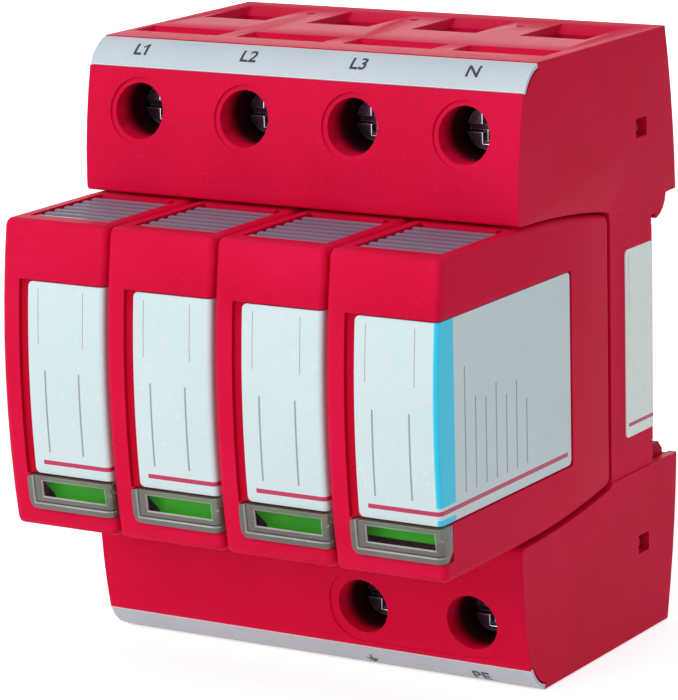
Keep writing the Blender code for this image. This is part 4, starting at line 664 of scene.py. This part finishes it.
EARTH_SIGN = [(0.0, 0.62, 0.22, 0.9), (0.0, 0.12, 1.9, 0.22), (0.0, -0.34, 1.2, 0.22), (0.0, -0.8, 0.5, 0.22)]
MARKS = [
    ("upper", 0, "L1", -0.7), ("upper", 1, "L2", -0.4), ("upper", 2, "L3", -0.1), ("upper", 3, "N", 0.25),
    ("lower", 2, None, 0.0), ("lower", 3, "PE", 0.1),
]
for row, pole, letters, shift in MARKS:
    shape = letter_shape(letters) if letters else bars_shape(EARTH_SIGN)
    side = 1 if row == "upper" else -1
    onto_strip(shape, POLE_X[pole] + shift * MM, side, strips[row])
    bmesh.ops.recalc_face_normals(shape, faces=shape.faces)
    mesh = bpy.data.meshes.new("mark")
    shape.to_mesh(mesh)
    shape.free()
    new_piece(f"{row}_strip_mark_{pole + 1}", mesh, INK, "base")

# Four plug-in modules. Each is a cup of the same red plastic with a rounded front, closed by an end plate
# that carries the two blades of tinned copper.
BLADE_COPPER = metal(
    "blade_copper", linear(204, 194, 176), linear(180, 160, 136), (800.0, 5000.0, 800.0), 0.28
)


def make_print_band():
    """A mask that is 1 where a value lies between two limits."""
    group, start, end = start_group(
        "print_band",
        [
            ("Value", "NodeSocketFloat", 0.0), ("Low", "NodeSocketFloat", 0.0),
            ("High", "NodeSocketFloat", 1.0),
        ],
        [("Mask", "NodeSocketFloat")],
    )
    above = calculate(group, "GREATER_THAN", start.outputs["Value"], start.outputs["Low"])
    below = calculate(group, "LESS_THAN", start.outputs["Value"], start.outputs["High"])
    group.links.new(calculate(group, "MULTIPLY", above, below), end.inputs["Mask"])
    return group


PRINT_BAND = make_print_band()


def area_mask(tree, axes, limits):
    """1 inside all these limits, which are in millimetres from the rail seat."""
    mask = None
    for axis, (low, high) in limits.items():
        if axis == "depth":
            low, high = SEAT.y / MM - high, SEAT.y / MM - low
        elif axis == "z":
            low, high = SEAT.z / MM + low, SEAT.z / MM + high
        band = place_group(tree, PRINT_BAND, [("Low", low * MM), ("High", high * MM)])
        tree.links.new(axes[axis], band.inputs["Value"])
        mask = calculate(tree, "MULTIPLY", mask, band.outputs[0]) if mask else band.outputs[0]
    return mask


CAP_RED = RED.copy()
CAP_RED.name = "cap_red_painted_shade"
cap_tree = CAP_RED.node_tree
cap_axes = pole_axes(cap_tree)
# The caps' red is darkened in the label's pocket and behind the flag: painted shade of the pocket's step and
# of the unlit inside.
POCKET = {"x": (-5.75, 9.0), "z": (-14.4, 14.12), "depth": (25.35, 63.95)}
BEHIND_FLAG = {"x": (-6.0, 7.55), "z": (-20.0, -13.5), "depth": (55.0, 58.3)}
CAP_PAINTED_SHADE = [(POCKET, linear(196, 8, 42)), (BEHIND_FLAG, linear(64, 14, 36))]
paint_over(CAP_RED, [(area_mask(cap_tree, cap_axes, area), shade) for area, shade in CAP_PAINTED_SHADE])
BOWED_REACH = 4.0 * MM
for n in range(1, 5):
    body = f"module_{n}"
    cap = softened(f"{body}_cap", body, CAP_RED, 0.1 * MM, RED_EDGE_HIGHLIGHT)
    low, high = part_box(f"{body}_cap")
    shade_as_curve(cap, (0.0, -1.0, 0.0), 2, low, (high.x, low.y + BOWED_REACH, high.z))
    shade_as_curve(cap, (0.0, 0.0, 1.0), 1, (low.x, low.y, high.z - BOWED_REACH), high)
    shade_as_curve(cap, (0.0, 0.0, -1.0), 1, low, (high.x, high.y, low.z + BOWED_REACH))
    softened(f"{body}_plate", body, DARK_RED)
    for row in ("upper", "lower"):
        softened(f"{body}_{row}_blade", body, BLADE_COPPER, 0.08 * MM)

# Inside, three modules hold a varistor block dipped in blue epoxy, and the fourth a gas-filled spark gap
# with a ribbed ceramic body.
EPOXY_BLUE = moulded(
    "epoxy_blue", linear(36, 62, 128), linear(30, 54, 116), linear(52, 82, 150), 0.32, 0.1,
    bump=0.05 * MM, scale=500.0,
)
CERAMIC = moulded(
    "ceramic_glaze", linear(232, 230, 220), linear(224, 220, 208), linear(240, 238, 230), 0.25, 0.08,
    bump=0.004 * MM, scale=900.0,
)
for n in (1, 2, 3):
    softened(f"module_{n}_varistor", f"module_{n}", EPOXY_BLUE, 0.4 * MM)
softened("module_4_spark_gap", "module_4", CERAMIC, 0.15 * MM)

# The ribbed release button in each module's top is a grey plastic, a little violet beside the red.
BUTTON_GREY = moulded(
    "button_grey", linear(138, 122, 141), linear(130, 114, 134), linear(156, 142, 158), 0.42, 0.14,
    bump=0.02 * MM, specular=0.3,
)
# The ribs' valleys and slopes are painted dark and their crests left grey: painted shade between the ribs.
RIB_FOOT = SEAT.z + 21.9 * MM
RIB_CREST = SEAT.z + 22.27 * MM
button_tree = BUTTON_GREY.node_tree
rib_painted_shade = add_node(
    button_tree, "ShaderNodeMapRange",
    values=[("From Min", RIB_FOOT), ("From Max", RIB_CREST), ("To Min", 1.0), ("To Max", 0.0)],
    links=[("Value", pole_axes(button_tree)["z"])],
)
paint_over(BUTTON_GREY, [(rib_painted_shade.outputs["Result"], linear(66, 50, 70))])
for n in range(1, 5):
    softened(f"module_{n}_button", f"button_{n}", BUTTON_GREY, 0.08 * MM)

# The status flag behind each window is a green plate on a stem. The fourth module's is lower than its pane,
# so the inside of the cap shows under it, darkened there with painted shade.
FLAG_GREEN = moulded(
    "flag_green", linear(60, 214, 6), linear(55, 204, 5), linear(70, 220, 12), 0.6, 0.1,
    bump=0.004 * MM, specular=0.1,
)
for n in range(1, 5):
    softened(f"module_{n}_flag", f"flag_{n}", FLAG_GREEN, 0.06 * MM)

# The window is moulded from clear polycarbonate in one block. Its pane is polished and the frame round it
# is finely etched, so that it looks grey. A step runs along the left and bottom of its face, and a bevelled
# edge round the pane.
PANE_LEFT = -3.1 * MM
PANE_RIGHT = 7.9 * MM
PANE_FOOT = -17.7 * MM
PANE_TOP = -15.1 * MM
PANE_BEVEL = 0.14 * MM
FRAME_RIM = 0.75 * MM
FRAME_STEP = 0.16 * MM
FRAME_LINE = 0.28 * MM
WINDOW_EDGE = 0.12 * MM


def clear_plastic(name, colour, clouded, transmission, roughness, specular, tint):
    finish = bpy.data.materials.new(name)
    finish.use_nodes = True
    tree = finish.node_tree
    shader = tree.nodes["Principled BSDF"]
    shader.inputs["Transmission Weight"].default_value = transmission
    shader.inputs["IOR"].default_value = 1.5
    shader.inputs["Specular IOR Level"].default_value = specular
    shader.inputs["Specular Tint"].default_value = tint
    haze = place_group(
        tree, MOULDED_GRAIN,
        [
            ("Colour", colour), ("Clouded Colour", clouded), ("Speck Colour", colour), ("Grain Scale", 900.0),
            ("Roughness", roughness), ("Roughness Spread", 0.05),
        ],
    )
    tree.links.new(haze.outputs["Colour"], shader.inputs["Base Color"])
    tree.links.new(haze.outputs["Roughness"], shader.inputs["Roughness"])
    return finish


CLEAR_PANE = clear_plastic(
    "clear_pane", linear(244, 246, 240), linear(238, 240, 232), 1.0, 0.04, 0.06, (0.12, 0.12, 0.12, 1.0)
)
WHITE_TINT = (1.0, 1.0, 1.0, 1.0)
ETCHED_FRAME = clear_plastic(
    "etched_frame", linear(150, 146, 140), linear(134, 130, 122), 0.5, 0.16, 0.45, WHITE_TINT
)
# A paler finish for the step, the pane's bevel and the rounded edges: a painted highlight along them.
PAINTED_EDGE_HIGHLIGHT = clear_plastic(
    "window_painted_edge_highlight", linear(200, 197, 190), linear(176, 172, 165), 0.4, 0.14, 0.6, WHITE_TINT
)
# A darker finish for a band just inside the step: a painted shadow line.
PAINTED_SHADOW_LINE = clear_plastic(
    "window_painted_shadow_line", linear(92, 88, 82), linear(78, 74, 68), 0.5, 0.16, 0.4, WHITE_TINT
)
WINDOW_FINISHES = [ETCHED_FRAME, CLEAR_PANE, PAINTED_EDGE_HIGHLIGHT, PAINTED_SHADOW_LINE]


def window_shape(n):
    """The CAD window, its hollow filled, with a step on two sides of its face and a bevel round the pane."""
    node = f"module_{n}_window"
    low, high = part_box(node)
    left, right = POLE_X[n - 1] + PANE_LEFT, POLE_X[n - 1] + PANE_RIGHT
    foot, top = SEAT.z + PANE_FOOT, SEAT.z + PANE_TOP
    shape = bmesh.new()
    shape.from_mesh(frame["nodes"][node].data)
    bmesh.ops.remove_doubles(shape, verts=shape.verts, dist=0.002 * MM)

    def in_pane(point, inset):
        return left + inset < point.x < right - inset and foot + inset < point.z < top - inset

    def cut(faces, place, facing):
        around = {item for face in faces for item in [face, *face.edges, *face.verts]}
        bmesh.ops.bisect_plane(shape, geom=list(around), plane_co=place, plane_no=facing)

    def fronts():
        return [face for face in shape.faces if face.normal.y < -0.2]

    hollow = [face for face in shape.faces if all(in_pane(vert.co, -0.02 * MM) for vert in face.verts)]
    bmesh.ops.delete(shape, geom=hollow, context="FACES")
    bmesh.ops.holes_fill(shape, edges=[edge for edge in shape.edges if edge.is_boundary], sides=0)
    bmesh.ops.dissolve_limit(shape, angle_limit=math.radians(0.4), verts=shape.verts, edges=shape.edges)
    for reach in (FRAME_RIM, FRAME_RIM + FRAME_STEP, FRAME_RIM + FRAME_STEP + FRAME_LINE):
        cut(fronts(), (low.x + reach, 0.0, 0.0), (1.0, 0.0, 0.0))
        cut(fronts(), (0.0, 0.0, low.z + reach), (0.0, 0.0, 1.0))
    inner = FRAME_RIM + FRAME_STEP - 0.01 * MM
    for vert in {vert for face in fronts() for vert in face.verts}:
        if vert.co.x > low.x + inner and vert.co.z > low.z + inner:
            vert.co.y += FRAME_STEP
    shape.normal_update()
    for place, facing in (
        ((left, 0.0, 0.0), (1.0, 0.0, 0.0)), ((right, 0.0, 0.0), (1.0, 0.0, 0.0)),
        ((0.0, 0.0, foot), (0.0, 0.0, 1.0)), ((0.0, 0.0, top), (0.0, 0.0, 1.0)),
    ):
        cut(fronts(), place, facing)
    pane = [face for face in fronts() if in_pane(face.calc_center_median(), 0.0)]
    bmesh.ops.inset_region(shape, faces=pane, thickness=PANE_BEVEL, depth=-PANE_BEVEL, use_even_offset=True)
    for face in shape.faces:
        middle = face.calc_center_median()
        from_rim = min(middle.x - low.x, middle.z - low.z) - FRAME_RIM
        if face.normal.y > 0.7 or (in_pane(middle, 0.7 * PANE_BEVEL) and face.normal.y < -0.2):
            face.material_index = WINDOW_FINISHES.index(CLEAR_PANE)
        elif in_pane(middle, 0.0) or 0.0 < from_rim < FRAME_STEP:
            face.material_index = WINDOW_FINISHES.index(PAINTED_EDGE_HIGHLIGHT)
        elif FRAME_STEP < from_rim < FRAME_STEP + FRAME_LINE and face.normal.y < -0.2:
            face.material_index = WINDOW_FINISHES.index(PAINTED_SHADOW_LINE)
    mesh = bpy.data.meshes.new(node)
    shape.to_mesh(mesh)
    shape.free()
    return mesh


for n in range(1, 5):
    mesh = window_shape(n)
    kinds = [face.material_index for face in mesh.polygons]
    piece = new_piece(f"module_{n}_window_block", mesh, ETCHED_FRAME, f"module_{n}")
    for finish in WINDOW_FINISHES[1:]:
        mesh.materials.append(finish)
    mesh.polygons.foreach_set("material_index", kinds)
    round_edges(piece, WINDOW_EDGE, WINDOW_FINISHES.index(PAINTED_EDGE_HIGHLIGHT))
    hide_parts(f"module_{n}_window")

# Printed labels lie in the modules' pockets and wrap round the right-hand edge. They are white film with a
# red line, fine grey lines and, on the fourth module, a blue strip over the edge. No words are on them.
LABEL_LEFT = -4.2 * MM
LABEL_SIDE_X = 8.32 * MM
LABEL_THICK = 0.3 * MM
LABEL_TOP = 13.9 * MM
LABEL_FOOT = -14.15 * MM
LABEL_BACK = 25.6 * MM
LABEL_SIDE_LENGTH = 30.0 * MM
LABEL_CORNER = 0.75 * MM
FRONT_DEPTH = 63.9 * MM
FRONT_RADIUS = 134.0 * MM
POCKET_DEEP = 0.48 * MM
POCKET_BEND = 0.52 * MM


def printed_film(name, areas, white=linear(216, 234, 236), shaded=linear(211, 231, 233)):
    """White film with printed areas, each a colour and its limits in X, depth and height, in millimetres."""
    finish = moulded(
        name, white, shaded, linear(224, 239, 241), 0.34, 0.06, bump=0.004 * MM, scale=1400.0, specular=0.45
    )
    tree = finish.node_tree
    axes = pole_axes(tree)
    paint_over(finish, [(area_mask(tree, axes, limits), colour) for colour, limits in areas])
    return finish


def corner_inset(from_end, radius):
    """How far a rounded corner draws an edge in, at a distance from the end."""
    return radius - math.sqrt(max(radius**2 - (radius - min(from_end, radius)) ** 2, 0.0))


def film_mesh(columns, rows, point_at, thick):
    """A thin closed film over a grid: columns give (place, distance from the nearer end)."""
    shape = bmesh.new()
    layers = []
    for lift in (thick, 0.0):
        layer = []
        for place, from_end in columns:
            inset = corner_inset(from_end, LABEL_CORNER)
            low, high = LABEL_FOOT + inset, LABEL_TOP - inset
            heights = [low + (high - low) * k / rows for k in range(rows + 1)]
            layer.append([shape.verts.new(point_at(place, z, lift)) for z in heights])
        layers.append(layer)
    top, under = layers
    last = len(columns) - 1
    for i in range(last):
        for k in range(rows):
            shape.faces.new((top[i][k], top[i + 1][k], top[i + 1][k + 1], top[i][k + 1]))
            shape.faces.new((under[i][k], under[i][k + 1], under[i + 1][k + 1], under[i + 1][k]))
        for k in (0, rows):
            shape.faces.new((top[i][k], under[i][k], under[i + 1][k], top[i + 1][k]))
    for i in (0, last):
        for k in range(rows):
            shape.faces.new((top[i][k], top[i][k + 1], under[i][k + 1], under[i][k]))
    bmesh.ops.recalc_face_normals(shape, faces=shape.faces)
    mesh = bpy.data.meshes.new("film")
    shape.to_mesh(mesh)
    shape.free()
    mesh.shade_smooth()
    mesh.set_sharp_from_angle(angle=math.radians(40.0))
    return mesh


def end_steps(length, radius):
    """Distances along an edge that draw a rounded corner well, then go on to the given length."""
    arc = [radius * (1.0 - math.cos(math.radians(90.0 * k / 6))) for k in range(7)]
    return arc + [length] if length > radius else arc


def wrapped_film(pole):
    """A module's label: across the barrel-shaped front, round the edge and back along the side."""
    front_end = LABEL_SIDE_X - POCKET_BEND
    columns = [(("front", LABEL_LEFT + d), d) for d in end_steps(front_end - LABEL_LEFT, LABEL_CORNER)]
    columns += [(("turn", k / 8), 1.0) for k in range(1, 9)]
    steps = end_steps(LABEL_SIDE_LENGTH, LABEL_CORNER)
    columns += [(("side", LABEL_BACK + d), d) for d in reversed(steps)]

    def point_at(place, z, lift):
        front = FRONT_DEPTH - z**2 / (2 * FRONT_RADIUS) - POCKET_DEEP
        kind, value = place
        if kind == "front":
            return on_rail(POLE_X[pole] + value, front + lift, z)
        if kind == "side":
            return on_rail(POLE_X[pole] + LABEL_SIDE_X + lift, value, z)
        turn = value * math.pi / 2
        reach = POCKET_BEND + lift
        middle = front - POCKET_BEND
        return on_rail(POLE_X[pole] + front_end + math.sin(turn) * reach, middle + math.cos(turn) * reach, z)

    return film_mesh(columns, 24, point_at, LABEL_THICK)


LINE_RED = linear(196, 44, 92)
LINE_GREY = linear(150, 156, 162)
EDGE_BLUE = linear(44, 218, 255)
RULE_GREY = linear(150, 158, 162)
ON_FRONT = (60.0, 70.0)
ON_EDGE = {"x": (8.05, 9.0), "depth": (58.9, 70.0)}
RULE_FOOT = -10.9
SIDE_RULES = (17.5, 12.8, 12.0, 13.4, 11.2, 12.6, 9.4)
for pole in range(4):
    areas = [
        (LINE_GREY, {"x": (-2.56, -2.44), "z": (4.9, 12.9), "depth": ON_FRONT}),
        (LINE_GREY, {"x": (5.12, 5.24), "z": (4.9, 12.9), "depth": ON_FRONT}),
        (RULE_GREY, {"x": (-1.6, -1.32), "z": (RULE_FOOT, 1.2), "depth": ON_FRONT}),
        (RULE_GREY, {"x": (4.2, 4.48), "z": (RULE_FOOT, 1.2), "depth": ON_FRONT}),
        (LINE_RED, {"x": (-2.7, 9.0), "z": (-12.75, -12.1), "depth": (26.6, 70.0)}),
    ]
    if pole == 3:
        areas += [(EDGE_BLUE, {**ON_EDGE, "z": heights}) for heights in ((-11.65, 20.0), (-20.0, -13.35))]
        for line, tall in enumerate(SIDE_RULES):
            depth = 56.0 - 2.9 * line
            heights = (RULE_FOOT, RULE_FOOT + tall)
            areas.append((RULE_GREY, {"z": heights, "depth": (depth - 0.16, depth + 0.16)}))
    film = printed_film(f"printed_film_{pole + 1}", areas)
    new_piece(f"module_{pole + 1}_label", wrapped_film(pole), film, f"module_{pole + 1}")

# A fifth label is stuck on the waist of the housing's right-hand side, beside the rail.
SIDE_LABEL_X = 35.77 * MM
SIDE_LABEL_BACK = 0.15 * MM
SIDE_LABEL_LENGTH = 8.7 * MM
SIDE_LABEL_THICK = 0.14 * MM
side_steps = end_steps(4.0 * MM, LABEL_CORNER)
side_columns = [(d, d) for d in side_steps] + [(SIDE_LABEL_LENGTH - d, d) for d in reversed(side_steps)]
side_film = film_mesh(
    side_columns, 6, lambda depth, z, lift: on_rail(SIDE_LABEL_X + lift, SIDE_LABEL_BACK + depth, z),
    SIDE_LABEL_THICK,
)
# The side label's film is a brighter white than the modules': painted light, making up for the weaker light
# on this side.
new_piece(
    "side_label", side_film,
    printed_film(
        "printed_film_side",
        [
            (LINE_GREY, {"depth": (7.7, 7.8), "z": (4.9, 12.9)}),
            (LINE_RED, {"depth": (0.0, 8.0), "z": (-12.6, -12.05)}),
        ],
        linear(244, 255, 250), linear(238, 252, 245),
    ),
    "base",
)

# The picture's setting: a pale floor that rises into a backdrop, soft lamps, and the camera where the
# photograph was taken from.
CAMERA_TURN = 0.550279
CAMERA_RISE = 0.223307
CAMERA_ROLL = -0.024257
CAMERA_DISTANCE = 0.55209945
CAMERA_TARGET = Vector((0.000602, -0.00285, 0.045309))
PICTURE = (678, 700)
PICTURE_MIDDLE = (339.03333, 350.01973)
FOCAL_PIXELS = 3799.624
SENSOR = 36.0


def make_camera():
    ahead = Vector(
        (
            -math.sin(CAMERA_TURN) * math.cos(CAMERA_RISE),
            math.cos(CAMERA_TURN) * math.cos(CAMERA_RISE),
            -math.sin(CAMERA_RISE),
        )
    )
    right = Vector((math.cos(CAMERA_TURN), math.sin(CAMERA_TURN), 0.0))
    up = right.cross(ahead)
    across = right * math.cos(CAMERA_ROLL) + up * math.sin(CAMERA_ROLL)
    upward = up * math.cos(CAMERA_ROLL) - right * math.sin(CAMERA_ROLL)
    data = bpy.data.cameras.new("camera")
    data.sensor_fit = "HORIZONTAL"
    data.sensor_width = SENSOR
    data.lens = FOCAL_PIXELS / PICTURE[0] * SENSOR
    data.shift_x = -(PICTURE_MIDDLE[0] - PICTURE[0] / 2) / PICTURE[0]
    data.shift_y = (PICTURE_MIDDLE[1] - PICTURE[1] / 2) / PICTURE[0]
    data.clip_start = 0.01
    camera = bpy.data.objects.new("camera", data)
    bpy.context.scene.collection.objects.link(camera)
    turn = Matrix((across, upward, -ahead)).transposed().to_4x4()
    camera.matrix_world = Matrix.Translation(CAMERA_TARGET - ahead * CAMERA_DISTANCE) @ turn
    bpy.context.scene.camera = camera


make_camera()


def add_lamp(name, place, aim, size, power, colour=(1.0, 1.0, 1.0)):
    data = bpy.data.lights.new(name, "AREA")
    data.shape = "RECTANGLE"
    data.size, data.size_y = size
    data.energy = power
    data.color = colour
    lamp = bpy.data.objects.new(name, data)
    bpy.context.scene.collection.objects.link(lamp)
    lamp.location = place
    lamp.rotation_euler = (Vector(aim) - Vector(place)).to_track_quat("-Z", "Y").to_euler()


add_lamp("front_lamp", (-0.25, -0.75, 0.45), (0.0, 0.0, 0.045), (0.5, 0.5), 3.25)
add_lamp("top_lamp", (0.0, -0.12, 0.72), (0.0, 0.0, 0.06), (0.5, 0.5), 0.62, (0.88, 0.93, 1.0))
add_lamp("side_lamp", (0.75, -0.15, 0.3), (0.0, 0.0, 0.045), (0.4, 0.5), 0.5)
add_lamp("low_lamp", (-0.1, -0.75, 0.07), (0.0, 0.0, 0.03), (0.7, 0.1), 0.55)
add_lamp("back_lamp", (-0.35, 0.75, 0.1), (0.0, 0.0, 0.045), (0.5, 0.16), 1.1)

FLOOR_HALF = 2.0
FLOOR_BELOW = 0.0002
floor_shape = bmesh.new()
profile = [(-1.5, 0.0), (0.9, 0.0), (1.02, 0.03), (1.12, 0.12), (1.15, 0.3), (1.15, 1.6)]
rows = [
    [floor_shape.verts.new((x, y, z - FLOOR_BELOW)) for y, z in profile] for x in (-FLOOR_HALF, FLOOR_HALF)
]
for k in range(len(profile) - 1):
    floor_shape.faces.new((rows[0][k], rows[1][k], rows[1][k + 1], rows[0][k + 1]))
floor_mesh = bpy.data.meshes.new("floor")
floor_shape.to_mesh(floor_mesh)
floor_shape.free()
floor = bpy.data.objects.new("floor", floor_mesh)
bpy.context.scene.collection.objects.link(floor)
FLOOR_PAPER = bpy.data.materials.new("floor_paper")
FLOOR_PAPER.use_nodes = True
paper_tree = FLOOR_PAPER.node_tree
paper_shader = paper_tree.nodes["Principled BSDF"]
paper_where = add_node(paper_tree, "ShaderNodeTexCoord").outputs["Object"]
paper_noise = add_node(
    paper_tree, "ShaderNodeTexNoise", values=[("Scale", 30.0), ("Detail", 2.0)],
    links=[("Vector", paper_where)],
)
paper_colour = add_node(
    paper_tree, "ShaderNodeMix", settings=[("data_type", "RGBA")],
    values=[(6, (0.9, 0.91, 0.91, 1.0)), (7, (0.93, 0.93, 0.93, 1.0))],
    links=[(0, paper_noise.outputs["Fac"])],
)
paper_tree.links.new(paper_colour.outputs[2], paper_shader.inputs["Base Color"])
paper_shader.inputs["Roughness"].default_value = 0.9
paper_shader.inputs["Specular IOR Level"].default_value = 0.1


def seen_rays(tree):
    """1 for the rays that look at the background: straight, in a reflection or through clear plastic."""
    path = add_node(tree, "ShaderNodeLightPath")
    some = calculate(tree, "MAXIMUM", path.outputs["Is Camera Ray"], path.outputs["Is Glossy Ray"])
    return calculate(tree, "MAXIMUM", some, path.outputs["Is Transmission Ray"])


FLOOR_GLOW = 0.65
paper_glow = calculate(paper_tree, "MULTIPLY", seen_rays(paper_tree), FLOOR_GLOW)
paper_shader.inputs["Emission Color"].default_value = (1.0, 1.0, 1.0, 1.0)
paper_tree.links.new(paper_glow, paper_shader.inputs["Emission Strength"])
floor.data.materials.append(FLOOR_PAPER)

world = bpy.data.worlds.new("studio")
bpy.context.scene.world = world
world.use_nodes = True
sky_tree = world.node_tree
sky = sky_tree.nodes["Background"]
sky.inputs["Color"].default_value = (0.95, 0.97, 1.0, 1.0)
SKY_LIGHT = 0.36
SKY_SEEN = 1.0
sky_strength = add_node(
    sky_tree, "ShaderNodeMapRange", values=[("To Min", SKY_LIGHT), ("To Max", SKY_SEEN)],
    links=[("Value", seen_rays(sky_tree))],
)
sky_tree.links.new(sky_strength.outputs["Result"], sky.inputs["Strength"])
bpy.context.scene.view_settings.view_transform = "Standard"
